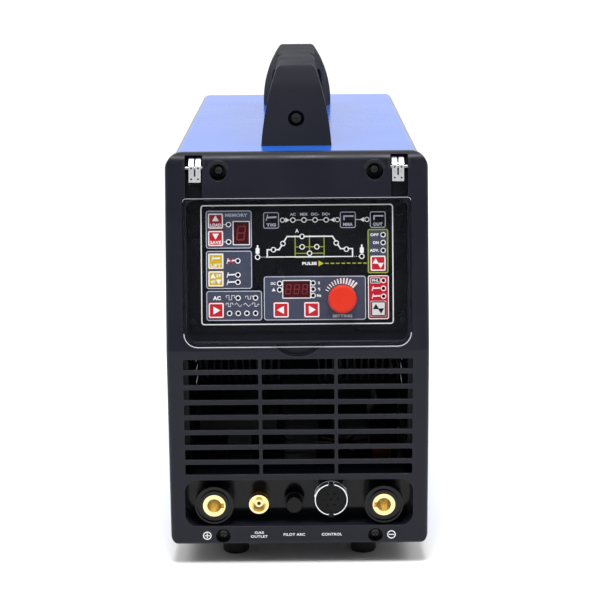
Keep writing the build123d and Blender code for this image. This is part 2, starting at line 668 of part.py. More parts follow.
def displays():
    """Two numeral display modules that stand on the board behind their windows."""
    pieces = []
    for u, v, width, height in display_places():
        across = (u - width / 2 + 0.1, u + width / 2 - 0.1)
        up = (v - height / 2 + 0.1, v + height / 2 - 0.1)
        pieces.append(panel_block(across, up, (BOARD_TOP, PLATE_TOP - 0.6)))
    return pieces


def key(name):
    """A square key with a softened rim and a stem that reaches its switch."""
    u, v = key_places()[name]
    cap = PANEL * Pos(u, v, (PLATE_TOP + KEY_RISE + POCKET_FLOOR) / 2) * Box(
        KEY, KEY, PLATE_TOP + KEY_RISE - POCKET_FLOOR
    )
    face = cap.faces().sort_by(Axis(PANEL.position, (PANEL * Pos(0, 0, 1)).position - PANEL.position))[-1]
    cap = fillet(face.edges(), 0.5)
    cap += panel_block((u - 2, u + 2), (v - 2, v + 2), (KEY_FOOT - 1.3, POCKET_FLOOR + 0.5))
    return cap


def encoder_body():
    """Rotary encoder on the board, with its threaded bush."""
    u, v = knob_place()
    body = panel_block((u - 6.5, u + 6.5), (v - 6.5, v + 6.5), (BOARD_TOP, -19.5))
    body += panel_rod(u, v, (-20, -14.6), 3.5)
    body -= panel_rod(u, v, (-24, 0), 2.0 + FIT)
    return body


def encoder_shaft():
    """Shaft that the setting knob is pressed on."""
    u, v = knob_place()
    return panel_rod(u, v, (-23.9, -6.5), 2.0)


def setting_knob():
    """Round knob with fine grips, a domed edge and a hollow underside."""
    u, v = knob_place()
    half_outline = polygon((2.0, -6.5), (0, -6.5), (0, -4.4), (11.2, -4.4), (12.9, -6.2), (13.2, -15.4),
                           (10.6, -15.4), (10.6, -7.6), (4.6, -7.6), (4.6, -13.9), (2.0, -13.9))
    body = revolve(Plane.XZ * half_outline, Axis.Z)
    grips = 36
    for step in range(grips):
        body -= Rot(0, 0, step * 360 / grips) * Pos(13.45, 0, -10) * Cylinder(0.5, 20)
    return PANEL * Pos(u, v, 0) * body


def panel_screws():
    """Four small black screws at the panel plate's corners."""
    pieces = []
    for u, v in panel_screw_places():
        screw = panel_rod(u, v, (PLATE_TOP, PLATE_TOP + 1.4), 2.6)
        screw += panel_rod(u, v, (POCKET_FLOOR - 5, PLATE_TOP + 0.5), 1.25)
        screw -= panel_block((u - 1.8, u + 1.8), (v - 0.35, v + 0.35), (PLATE_TOP + 0.7, PLATE_TOP + 2))
        screw -= panel_block((u - 0.35, u + 0.35), (v - 1.8, v + 1.8), (PLATE_TOP + 0.7, PLATE_TOP + 2))
        pieces.append(screw)
    return pieces


# ---------------------------------------------------------------- connectors

def socket_collars():
    """Black insulating collars of the two weld-cable sockets, with a round groove in each face."""
    pieces = []
    for x in (-SOCKET_X, SOCKET_X):
        body = tube_y(x, PLUG_Z, (2.0, BACK_WALL), 18.0, 10.55)
        body -= tube_y(x, PLUG_Z, (1.0, 4.2), 16.4, 13.6)
        pieces.append(body + tube_y(x, PLUG_Z, (BACK_WALL - 1, BACK_WALL + 8), 12.0, 10.55))
    return pieces


def socket_contacts():
    """Brass bayonet sockets: a bore with a key slot on its inner side, and a stud at the back."""
    pieces = []
    for side in (-1, 1):
        x = side * SOCKET_X
        body = rod_y(x, PLUG_Z, (1.2, BACK_WALL + 10), 10.5)
        body -= rod_y(x, PLUG_Z, (0, 27), BORE_R)
        key_slot = tuple(sorted((x, x - side * 9.2)))
        body -= block(key_slot, (0, 16), (PLUG_Z - 2.4, PLUG_Z + 2.4))
        pieces.append(body + rod_y(x, PLUG_Z, (BACK_WALL + 9, BACK_WALL + 24), 6.0))
    return pieces


def gas_outlet():
    """Brass gas outlet with two turned grooves and a tail for the hose."""
    body = rod_y(GAS_X, PLUG_Z, (4.0, BACK_WALL), 9.2)
    body -= rod_y(GAS_X, PLUG_Z, (3, 13), 7.2)
    for groove in (8.5, 12.0):
        body -= tube_y(GAS_X, PLUG_Z, (groove, groove + 1.2), 10.0, 8.6)
    body += tube_y(GAS_X, PLUG_Z, (7, 14), 3.6, 1.8)
    body += rod_y(GAS_X, PLUG_Z, (BACK_WALL - 1, BACK_WALL + 12), 6.0)
    body += rod_y(GAS_X, PLUG_Z, (BACK_WALL + 11, BACK_WALL + 29), 2.5)
    return body - rod_y(GAS_X, PLUG_Z, (12, BACK_WALL + 30), 1.6)


def pilot_terminal():
    """Brass stud with a collar, for the pilot arc lead."""
    z = PLUG_Z - 1
    body = rod_y(PILOT_X, z, (6, BACK_WALL + 14), 3.0)
    body += rod_y(PILOT_X, z, (BACK_WALL - 5, BACK_WALL), 7.0)
    return body + rod_y(PILOT_X, z, (BACK_WALL - 1, BACK_WALL + 3), 4.0)


def pilot_thumb_nut():
    """Black knurled nut that turns on the pilot stud."""
    z = PLUG_Z - 1
    body = rod_y(PILOT_X, z, (3.0, 16.0), 7.6)
    body = fillet(body.edges().filter_by(GeomType.CIRCLE).sort_by(Axis.Y)[0], 1.2)
    body += rod_y(PILOT_X, z, (14.5, 19.6), 9.4)
    knurls = 24
    for step in range(knurls):
        turn = Pos(PILOT_X, FRONT_Y, z) * Rot(0, step * 360 / knurls, 0)
        body -= turn * Pos(7.85, 7, 0) * Rot(90, 0, 0) * Cylinder(0.55, 14)
    return body - rod_y(PILOT_X, z, (5.7, 25), 3.0 + FIT)


def control_socket_shell():
    """Chromed round shell of the multi-pin control socket."""
    z = PLUG_Z + 4
    body = rod_y(CONTROL_X, z, (4.0, BACK_WALL), 16.2)
    body = chamfer(body.edges().filter_by(GeomType.CIRCLE).sort_by(Axis.Y)[0], 0.9)
    body -= rod_y(CONTROL_X, z, (3.0, BACK_WALL - 3), 14.5)
    body -= tube_y(CONTROL_X, z, (9.0, 12.0), 17.0, 15.6)
    body += rod_y(CONTROL_X, z, (BACK_WALL - 0.5, BACK_WALL + 6), 12.5)
    body -= rod_y(CONTROL_X, z, (BACK_WALL - 4, BACK_WALL + 7), 11.0)
    for low, high in ((z + 13, z + 18), (z - 18, z - 13)):
        body -= block((CONTROL_X - 2.7, CONTROL_X + 2.7), (3, 7.8), (low, high))
    return body


def control_socket_insert():
    """Black moulded insert with a key and a pattern of pin holes."""
    z = PLUG_Z + 4
    body = rod_y(CONTROL_X, z, (5.6, BACK_WALL - 3.1), 14.4)
    body += rod_y(CONTROL_X, z, (BACK_WALL - 3.2, BACK_WALL + 8), 10.9)
    for low, high in ((z + 13, z + 15.8), (z - 17.6, z - 13)):
        body += block((CONTROL_X - 2.4, CONTROL_X + 2.4), (4.8, 7.5), (low, high))
    for x, pin_z in pin_places():
        body -= rod_y(x, pin_z, (5, BACK_WALL + 10), 0.9)
    return body


def pin_places():
    """The control socket's seven pins: one in the middle, six round it."""
    z = PLUG_Z + 4
    ring = [Vector(6.2, 0, 0).rotate(Axis.Z, 60 * step) for step in range(6)]
    return [(CONTROL_X, z)] + [(CONTROL_X + point.X, z + point.Y) for point in ring]


def control_socket_pins():
    """Seven gilt pins."""
    return [rod_y(x, z, (8.5, BACK_WALL + 14), 0.9) for x, z in pin_places()]


# ---------------------------------------------------------------- rear fittings

def fan_screw_places():
    """Corners of the fan's screw square."""
    return [(sx * 52.5, FAN_Z + sz * 52.5) for sx in (-1, 1) for sz in (-1, 1)]


def fan_frame():
    """Square fan housing with a motor mount on four struts."""
    depth = (CASE_BACK - 40, CASE_BACK - 2)
    half = FAN_SIZE / 2
    square = Pos(0, FAN_Z) * RectangleRounded(FAN_SIZE, FAN_SIZE, 6)
    body = front_prism(square, depth)
    body -= rod_y(0, FAN_Z, (depth[0] - 1, depth[1] + 1), FAN_BORE)
    struts = rod_y(0, FAN_Z, (depth[0], depth[0] + 6), 19)
    for angle in (45, 135):
        bar = Box(2 * half, 5, 5)
        struts += Pos(0, FRONT_Y + depth[0] + 2.5, FAN_Z) * Rot(0, angle, 0) * bar
    body += struts & rod_y(0, FAN_Z, depth, FAN_BORE + 1)
    for x, z in fan_screw_places():
        body -= rod_y(x, z, (depth[0] - 1, depth[1] + 1), 2.2)
    return body - rod_y(0, FAN_Z, (depth[0] - 1, depth[0] + 8), 2.0 + FIT)


def fan_rotor():
    """Fan hub with seven pitched blades and its shaft."""
    start = CASE_BACK - 33.5
    body = rod_y(0, FAN_Z, (start, start + 26), 20)
    blades = 7
    for step in range(blades):
        blade = Pos(0, FRONT_Y + start + 13, FAN_Z) * Rot(0, step * 360 / blades, 0) * Pos(37, 0, 0)
        body += blade * Rot(38, 0, 0) * Box(36, 2.0, 26)
    return body + rod_y(0, FAN_Z, (CASE_BACK - 39.5, start + 1), 2.0)


def fan_guard():
    """Wire finger guard: rings welded to four spokes that end in screw eyes."""
    wire = 1.0
    depth = CASE_BACK + 2.2
    body = None
    for radius in (12, 22, 32, 42, 52):
        ring = Pos(0, FRONT_Y + depth, FAN_Z) * Rot(90, 0, 0) * Torus(radius, wire)
        body = ring if body is None else body + ring
    for angle in (45, 135, 225, 315):
        turn = Pos(0, FRONT_Y + depth - 1.7, FAN_Z) * Rot(0, angle, 0)
        body += turn * Pos(41, 0, 0) * Rot(0, 90, 0) * Cylinder(wire, 60)
    for x, z in fan_screw_places():
        body += tube_y(x, z, (CASE_BACK - 0.5, CASE_BACK + 1.5), 4.6, 2.2)
    return body


def guard_screws():
    """Four screws through the guard and panel into the fan."""
    pieces = []
    for x, z in fan_screw_places():
        screw = rod_y(x, z, (CASE_BACK + 1.5, CASE_BACK + 4.0), 4.0)
        screw += rod_y(x, z, (CASE_BACK - 20, CASE_BACK + 2), 2.0)
        screw -= block((x - 2.6, x + 2.6), (CASE_BACK + 2.8, CASE_BACK + 5), (z - 0.5, z + 0.5))
        pieces.append(screw)
    return pieces


def switch_body():
    """Housing of the mains rocker switch, clipped into the rear panel."""
    x, z = SWITCH_X, SWITCH_Z
    body = block((x - 15, x + 15), (CASE_BACK - 22, CASE_BACK - 0.5), (z - 11, z + 11))
    body += block((x - 17, x + 17), (CASE_BACK - 0.5, CASE_BACK + 2), (z - 13, z + 13))
    body -= block((x - 13, x + 13), (CASE_BACK - 14, CASE_BACK + 3), (z - 9, z + 9))
    for offset in (-8, 0, 8):
        body += block((x + offset - 2.4, x + offset + 2.4), (CASE_BACK - 31, CASE_BACK - 21.5), (z - 0.4, z + 0.4))
    return body - Pos(x, FRONT_Y + CASE_BACK - 5, z) * Cylinder(1.5 + FIT, 21)


def switch_rocker():
    """Rocker that turns on an upright pin and leans to one side when off."""
    shape = polygon((-12.2, 0), (-12.2, 5.6), (0, 3.4), (12.2, 5.6), (12.2, 0), (5, -7), (-5, -7))
    plane = Plane(origin=(0, 0, -8.6), x_dir=(1, 0, 0), z_dir=(0, 0, 1))
    body = extrude(plane * shape, amount=17.2) + Cylinder(1.5, 20)
    place = Pos(SWITCH_X, FRONT_Y + CASE_BACK - 5, SWITCH_Z)
    return place * Rot(0, 0, ROCKER_REST) * body


def cable_gland():
    """Threaded cable gland with a domed cap and a bore for the mains lead."""
    x, z = GLAND_X, LOW_REAR_Z
    body = rod_y(x, z, (CASE_BACK - 14, CASE_BACK), 10.0)
    plane = Plane(origin=(x, FRONT_Y + CASE_BACK + 4.5, z), x_dir=(1, 0, 0), z_dir=(0, -1, 0))
    body += extrude(plane * RegularPolygon(14.0, 6), amount=5.0)
    body += rod_y(x, z, (CASE_BACK + 4, CASE_BACK + 17), 12.0)
    body = fillet(body.edges().filter_by(GeomType.CIRCLE).sort_by(Axis.Y)[-1], 3.0)
    for step in range(16):
        turn = Pos(x, FRONT_Y + CASE_BACK + 9.5, z) * Rot(0, step * 22.5, 0)
        body -= turn * Pos(12.3, 0, 0) * Rot(90, 0, 0) * Cylinder(0.9, 8)
    return body - rod_y(x, z, (CASE_BACK - 20, CASE_BACK + 20), 5.5)


def gland_nut():
    """Lock nut of the gland, inside the rear panel."""
    plane = Plane(origin=(GLAND_X, FRONT_Y + CASE_BACK - 2, LOW_REAR_Z), x_dir=(1, 0, 0), z_dir=(0, -1, 0))
    nut = extrude(plane * RegularPolygon(14.0, 6), amount=4.5)
    return nut - rod_y(GLAND_X, LOW_REAR_Z, (CASE_BACK - 10, CASE_BACK), 10.0)


def gas_inlet():
    """Brass inlet: a hose spigot with barbs outside, a nut inside."""
    x, z = INLET_X, LOW_REAR_Z
    body = rod_y(x, z, (CASE_BACK - 12, CASE_BACK), 6.0)
    plane = Plane(origin=(x, FRONT_Y + CASE_BACK + 5.5, z), x_dir=(1, 0, 0), z_dir=(0, -1, 0))
    body += extrude(plane * RegularPolygon(10.0, 6), amount=6.0)
    body += rod_y(x, z, (CASE_BACK + 5, LENGTH), 3.6)
    for step in range(3):
        place = Pos(x, FRONT_Y + CASE_BACK + 16.0 + 3.6 * step, z) * Rot(-90, 0, 0)
        body += place * Cone(4.4, 3.6, 3.0)
    body += rod_y(x, z, (CASE_BACK - 26, CASE_BACK - 11), 4.0)
    return body - rod_y(x, z, (CASE_BACK - 30, LENGTH + 1), 2.2)


# ---------------------------------------------------------------- inside

def gas_valve():
    """Solenoid valve: a brass block with its coil, between inlet and hose."""
    x, z = INLET_X, LOW_REAR_Z
    body = block((x - 12, x + 12), (CASE_BACK - 60, CASE_BACK - 26), (z - 12, z + 10))
    body += block((x - 15, x + 15), (CASE_BACK - 60, CASE_BACK - 28), (z + 9, z + 38))
    body += block((x - 12, x - 6), (CASE_BACK - 56, CASE_BACK - 30), (BASE_TOP, z - 11))
    body += rod_y(x, z, (CASE_BACK - 80, CASE_BACK - 59), 2.5)
    return body - rod_y(x, z, (CASE_BACK - 81, CASE_BACK - 25), 1.6)


def gas_hose():
    """Hose from the valve along the right side to the gas outlet."""
    z = PLUG_Z
    points = [
        (INLET_X, FRONT_Y + CASE_BACK - 66, LOW_REAR_Z),
        (INLET_X, FRONT_Y + CASE_BACK - 110, LOW_REAR_Z),
        (HOSE_X, FRONT_Y + CASE_BACK - 170, 60),
        (HOSE_X, FRONT_Y + 150, 60),
        (HOSE_X, FRONT_Y + 96, z),
        (GAS_X, FRONT_Y + 96, z),
        (GAS_X, FRONT_Y + BACK_WALL + 14, z),
    ]
    path = FilletPolyline(*points, radius=16)
    ring = Plane(origin=points[0], z_dir=(0, -1, 0)) * (Circle(4.5) - Circle(2.6))
    return sweep(ring, path)


def transformer_core():
    """Ferrite core of the main transformer: a rectangular ring on edge."""
    outer = block((-98, -22), (112, 160), (BASE_TOP + 12, BASE_TOP + 88))
    return outer - block((-80, -40), (110, 162), (BASE_TOP + 30, BASE_TOP + 70))


def transformer_windings():
    """Primary and secondary coils on the core's two legs."""
    pieces = []
    for x in (-89, -31):
        coil = block((x - 16, x + 16), (105, 167), (BASE_TOP + 32, BASE_TOP + 68))
        coil = fillet(coil.edges().filter_by(Axis.Z), 7)
        pieces.append(coil - block((x - 9, x + 9), (112, 160), (0, 200)))
    return pieces


def transformer_feet():
    """Four plastic feet that hold the core above the tray."""
    pieces = []
    for x in (-90, -30):
        for depth in (118, 154):
            pieces.append(block((x - 6, x + 6), (depth - 5, depth + 5), (BASE_TOP, BASE_TOP + 12)))
    return pieces


def choke_core():
    """Ring core of the output choke."""
    return rod_z(46, 175, (BASE_TOP + 8, BASE_TOP + 34), 26) - rod_z(46, 175, (BASE_TOP, BASE_TOP + 50), 15)


def choke_winding():
    """Flat copper turns wound round the choke's core."""
    pieces = []
    turns = 10
    for step in range(turns):
        place = Pos(46, FRONT_Y + 175, BASE_TOP + 21) * Rot(0, 0, step * 360 / turns) * Pos(20.4, 0, 0)
        pieces.append(place * (Box(17.4, 5, 34) - Box(11.9, 8, 26.2)))
    return pieces


def choke_base():
    """Insulating block that the choke stands on."""
    return block((20, 72), (150, 200), (BASE_TOP, BASE_TOP + 4))


def start_unit():
    """Potted high-frequency arc starter."""
    body = block((-12, 34), (62, 88), (BASE_TOP + SHEET, BASE_TOP + 19))
    return fillet(body.edges().filter_by(Axis.Z), 3)


def heatsinks():
    """Two finned aluminium extrusions that stand in the fan's air."""
    pieces = []
    for side in (-1, 1):
        x = sorted((side * 20, side * 104))
        body = block(x, (215, 420), (176, 184))
        fins = 12
        step = (x[1] - x[0] - 2.0) / (fins - 1)
        for index in range(fins):
            left = x[0] + index * step
            body += block((left, left + 2.0), (215, 420), (118, 177))
        pieces.append(body)
    return pieces


def heatsink_rails():
    """Steel rails that carry the heatsinks above the tray."""
    pieces = []
    for side in (-1, 1):
        for depth in (232, 403):
            x = sorted((side * 20, side * 104))
            rail = block(x, (depth - 1, depth + 1), (BASE_TOP, 118))
            foot = block(x, (depth - 1, depth + 14), (BASE_TOP, BASE_TOP + 1.5))
            rail -= block((x[0] + 14, x[1] - 14), (depth - 3, depth + 3), (BASE_TOP + 16, 106))
            pieces.append(rail + foot)
    return pieces


def power_transistors():
    """Power transistors screwed flat on the heatsinks."""
    pieces = []
    for side in (-1, 1):
        for index in range(4):
            depth = 235 + 50 * index
            pieces.append(block((side * 62 - 8, side * 62 + 8), (depth, depth + 21), (184, 189)))
    return pieces


def power_board():
    """Main circuit board on spacers above the heatsinks."""
    body = block((-104, 104), (210, 450), (212, 213.6))
    for x in (-98, 98):
        for depth in (222, 412):
            body += rod_z(x, depth, (184, 212.5), 3.5)
    return body


def capacitors():
    """Bus capacitors and the relay row on the main board."""
    pieces = []
    for x in (-66, -22, 22, 66):
        pieces.append(rod_z(x, 260, (213.6, 263.6), 17.5))
    return pieces


def board_parts():
    """Relays, driver transformers and terminal blocks on the main board."""
    pieces = []
    for x in (-80, -40, 0, 40):
        pieces.append(block((x, x + 26), (320, 342), (213.6, 238)))
    for x in (-70, 0, 50):
        pieces.append(block((x, x + 18), (390, 420), (213.6, 229)))
    return pieces


def busbars():
    """Copper strips from the weld sockets: one to the transformer, one back to the choke."""
    pieces = []
    for side, reach, rise in ((-1, 104, 30), (1, 200, 40)):
        x = tuple(sorted((side * 70, side * 88)))
        upright = block(x, (BACK_WALL + 24, BACK_WALL + 26), (PLUG_Z - 9, PLUG_Z + rise))
        pieces.append(upright + block(x, (BACK_WALL + 24, reach), (PLUG_Z + rise - 2, PLUG_Z + rise)))
    return pieces


NODES = {
    "front_bezel": front_bezel,
    "top_cover": top_cover,
    "case_screws": lambda: cover_screws() + guard_screws(),
    "base_tray": base_tray,
    "rear_panel": rear_panel,
    "front_frame": front_frame,
    "connector_plate": connector_plate,
    "feet": feet,
    "foot_screws": foot_screws,
    "access_hole_screws": lambda: bezel_screws() + handle_screws(),
    "handle": handle,
    "handle_brackets": handle_brackets,
    "clear_flap": clear_flap,
    "hinge_clips": hinge_clips,
    "hinge_pins": hinge_pins,
    "panel_plate": panel_plate,
    "panel_screws": panel_screws,
    "indicator_lamps": indicator_lamps,
    "control_board": control_board,
    "encoder_body": encoder_body,
    "encoder_shaft": encoder_shaft,
    "setting_knob": setting_knob,
    "socket_collars": socket_collars,
    "socket_contacts": socket_contacts,
    "gas_outlet": gas_outlet,
    "pilot_terminal": pilot_terminal,
    "pilot_thumb_nut": pilot_thumb_nut,
    "control_socket_shell": control_socket_shell,
    "control_socket_insert": control_socket_insert,
    "control_socket_pins": control_socket_pins,
    "fan_frame": fan_frame,
    "fan_rotor": fan_rotor,
    "fan_guard": fan_guard,
    "switch_body": switch_body,
    "switch_rocker": switch_rocker,
    "cable_gland": lambda: [cable_gland(), gland_nut()],
    "gas_inlet": gas_inlet,
    "gas_valve": gas_valve,
    "gas_hose": gas_hose,
    "transformer_core": transformer_core,
    "transformer_windings": transformer_windings,
    "choke_core": choke_core,
    "choke_winding": choke_winding,
    "start_unit": start_unit,
    "heatsinks": heatsinks,
    "power_transistors": power_transistors,
    "power_board": power_board,
    "board_components": lambda: capacitors() + board_parts(),
    "busbars": busbars,
    "inner_supports": lambda: transformer_feet() + [choke_base()] + heatsink_rails(),
    "displays": displays,
}

# The keys share one function, and each is its own node.
for node in key_places():
    NODES[node] = lambda name=node: key(name)

os.makedirs("parts", exist_ok=True)
for node, make in NODES.items():
    shape = make()
    solids = shape if isinstance(shape, list) else [shape]
    export_step(Compound(children=[s for piece in solids for s in piece.solids()]), f"parts/{node}.step")
    print(node, "written")
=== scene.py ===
import bpy
from math import cos, pi, radians, sin
from mathutils import Matrix, Vector


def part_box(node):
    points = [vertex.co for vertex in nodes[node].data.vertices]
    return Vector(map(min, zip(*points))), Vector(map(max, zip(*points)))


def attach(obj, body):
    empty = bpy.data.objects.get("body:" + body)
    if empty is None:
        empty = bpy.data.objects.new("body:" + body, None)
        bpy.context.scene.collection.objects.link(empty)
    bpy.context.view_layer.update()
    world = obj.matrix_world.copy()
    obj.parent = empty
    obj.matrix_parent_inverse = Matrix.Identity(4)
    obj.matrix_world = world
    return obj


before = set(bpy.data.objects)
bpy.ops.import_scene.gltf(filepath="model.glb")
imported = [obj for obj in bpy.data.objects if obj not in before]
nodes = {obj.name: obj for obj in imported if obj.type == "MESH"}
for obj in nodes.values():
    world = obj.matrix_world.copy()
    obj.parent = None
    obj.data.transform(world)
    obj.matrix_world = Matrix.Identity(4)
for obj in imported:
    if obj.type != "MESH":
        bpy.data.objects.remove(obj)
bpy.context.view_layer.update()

# ---------------------------------------------------------------------------------------------
# Camera. A long lens in front of the machine, a little above its handle, that looks slightly
# down on it.
# ---------------------------------------------------------------------------------------------
CAMERA_PLACE = (0.0055, -1.765, 0.593)
CAMERA_DOWN = 13.0
CAMERA_LEFT = 0.12
CAMERA_ROLL = 0.48
LENS_MM = 99.96

camera_data = bpy.data.cameras.new("camera")
camera_data.lens = LENS_MM
camera_data.sensor_width = 36.0
camera = bpy.data.objects.new("camera", camera_data)
camera.matrix_world = (
    Matrix.Translation(CAMERA_PLACE)
    @ Matrix.Rotation(radians(CAMERA_LEFT), 4, "Z")
    @ Matrix.Rotation(radians(90.0 - CAMERA_DOWN), 4, "X")
    @ Matrix.Rotation(radians(-CAMERA_ROLL), 4, "Z")
)
bpy.context.scene.collection.objects.link(camera)
bpy.context.scene.camera = camera
bpy.context.scene.view_settings.view_transform = "Standard"

# ---------------------------------------------------------------------------------------------
# Studio. A plain white floor, a pale room that is brighter behind the machine than in front,
# one soft sun from above and three soft boxes.
# ---------------------------------------------------------------------------------------------
FLOOR_HALF = 30.0
FLOOR_DROP = 0.0002
FLOOR_ALBEDO = 0.88
ROOM_FRONT = 0.2
ROOM_BACK = 1.0
ROOM_FADE = (-0.5, 0.35)     # from the front of the room to the back, -1 to 1
SUN_POWER = 1.9
SUN_SPREAD = 16.0
SUN_TILT = 16.0
SOFT_BOXES = (
    ("box_left", (-1.4, -1.0, 2.1), 1.1, 18.0),
    ("box_right", (1.5, -0.9, 2.0), 1.0, 15.0),
    ("box_top", (0.0, -0.4, 2.4), 1.4, 10.0),
)


def linear(red, green, blue):
    """A colour given as it looks on a screen, 0 to 255, in the shader's own scale."""
    parts = [c / 255.0 for c in (red, green, blue)]
    return tuple(c / 12.92 if c < 0.04045 else ((c + 0.055) / 1.055) ** 2.4 for c in parts) + (1.0,)


floor_mesh = bpy.data.meshes.new("floor")
floor_mesh.from_pydata(
    [(x * FLOOR_HALF, y * FLOOR_HALF, -FLOOR_DROP) for x, y in ((-1, -1), (1, -1), (1, 1), (-1, 1))],
    [],
    [(0, 1, 2, 3)],
)
floor = bpy.data.objects.new("floor", floor_mesh)
bpy.context.scene.collection.objects.link(floor)
floor_paper = bpy.data.materials.new("floor_paper")
floor_paper.use_nodes = True
paper = floor_paper.node_tree.nodes["Principled BSDF"]
paper.inputs["Base Color"].default_value = (FLOOR_ALBEDO, FLOOR_ALBEDO, FLOOR_ALBEDO, 1.0)
paper.inputs["Roughness"].default_value = 0.9
paper.inputs["Specular IOR Level"].default_value = 0.0
floor_mesh.materials.append(floor_paper)

room = bpy.data.worlds.new("room")
bpy.context.scene.world = room
room.use_nodes = True
room_tree = room.node_tree
room_light = room_tree.nodes["Background"]
room_light.inputs["Color"].default_value = (1.0, 1.0, 1.0, 1.0)
room_way = room_tree.nodes.new("ShaderNodeTexCoord")
room_axes = room_tree.nodes.new("ShaderNodeSeparateXYZ")
room_ramp = room_tree.nodes.new("ShaderNodeMapRange")
room_ramp.interpolation_type = "SMOOTHSTEP"
room_ramp.inputs["From Min"].default_value = ROOM_FADE[0]
room_ramp.inputs["From Max"].default_value = ROOM_FADE[1]
room_ramp.inputs["To Min"].default_value = ROOM_FRONT
room_ramp.inputs["To Max"].default_value = ROOM_BACK
room_tree.links.new(room_way.outputs["Generated"], room_axes.inputs[0])
room_tree.links.new(room_axes.outputs["Y"], room_ramp.inputs["Value"])
room_tree.links.new(room_ramp.outputs["Result"], room_light.inputs["Strength"])

sun_data = bpy.data.lights.new("sun", "SUN")
sun_data.energy = SUN_POWER
sun_data.angle = radians(SUN_SPREAD)
sun = bpy.data.objects.new("sun", sun_data)
sun.rotation_euler = (radians(SUN_TILT), 0, 0)
bpy.context.scene.collection.objects.link(sun)

SOFT_BOX_AIM = Vector((0.0, -0.2, 0.2))
for name, place, size, power in SOFT_BOXES:
    box_data = bpy.data.lights.new(name, "AREA")
    box_data.size = size
    box_data.energy = power
    box_light = bpy.data.objects.new(name, box_data)
    box_light.location = place
    box_light.rotation_euler = (SOFT_BOX_AIM - Vector(place)).to_track_quat("-Z", "Y").to_euler()
    bpy.context.scene.collection.objects.link(box_light)

# ---------------------------------------------------------------------------------------------
# Front bezel. One injection-moulded ABS frame with a fine satin grain. The panel's pocket, the
# air slots and the connector recess are moulded in it, and five marks are printed in white
# below the connectors.
# ---------------------------------------------------------------------------------------------
BEZEL_COLOUR = linear(26, 27, 37)
BEZEL_GRAIN = 1500.0
GRAIN_HEIGHT = 0.00007
LABEL_LIFT = 0.06           # mm that the ink stands off the moulding
MM = 0.001
FRONT_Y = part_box("front_bezel")[0].y / MM
INK_WHITE = linear(246, 248, 250)
LETTER_SPACING = 1.08
LACQUER_ROUGH = 0.06
BUMP_SHARE = 0.5
TONE_SCALE = 22.0
SPECK_SHARE = 0.12
SHEEN_RANGE = (0.3, 0.7)    # the part of its scale that the broad noise uses
SMOOTHEST = 0.02
EDGE_RADIUS = 0.0009
EDGE_TURN = (0.995, 0.85)   # how far a rounded edge has turned where wear starts, and where it is full
WORN_KEEP, WORN_ADD = 0.5, 0.12


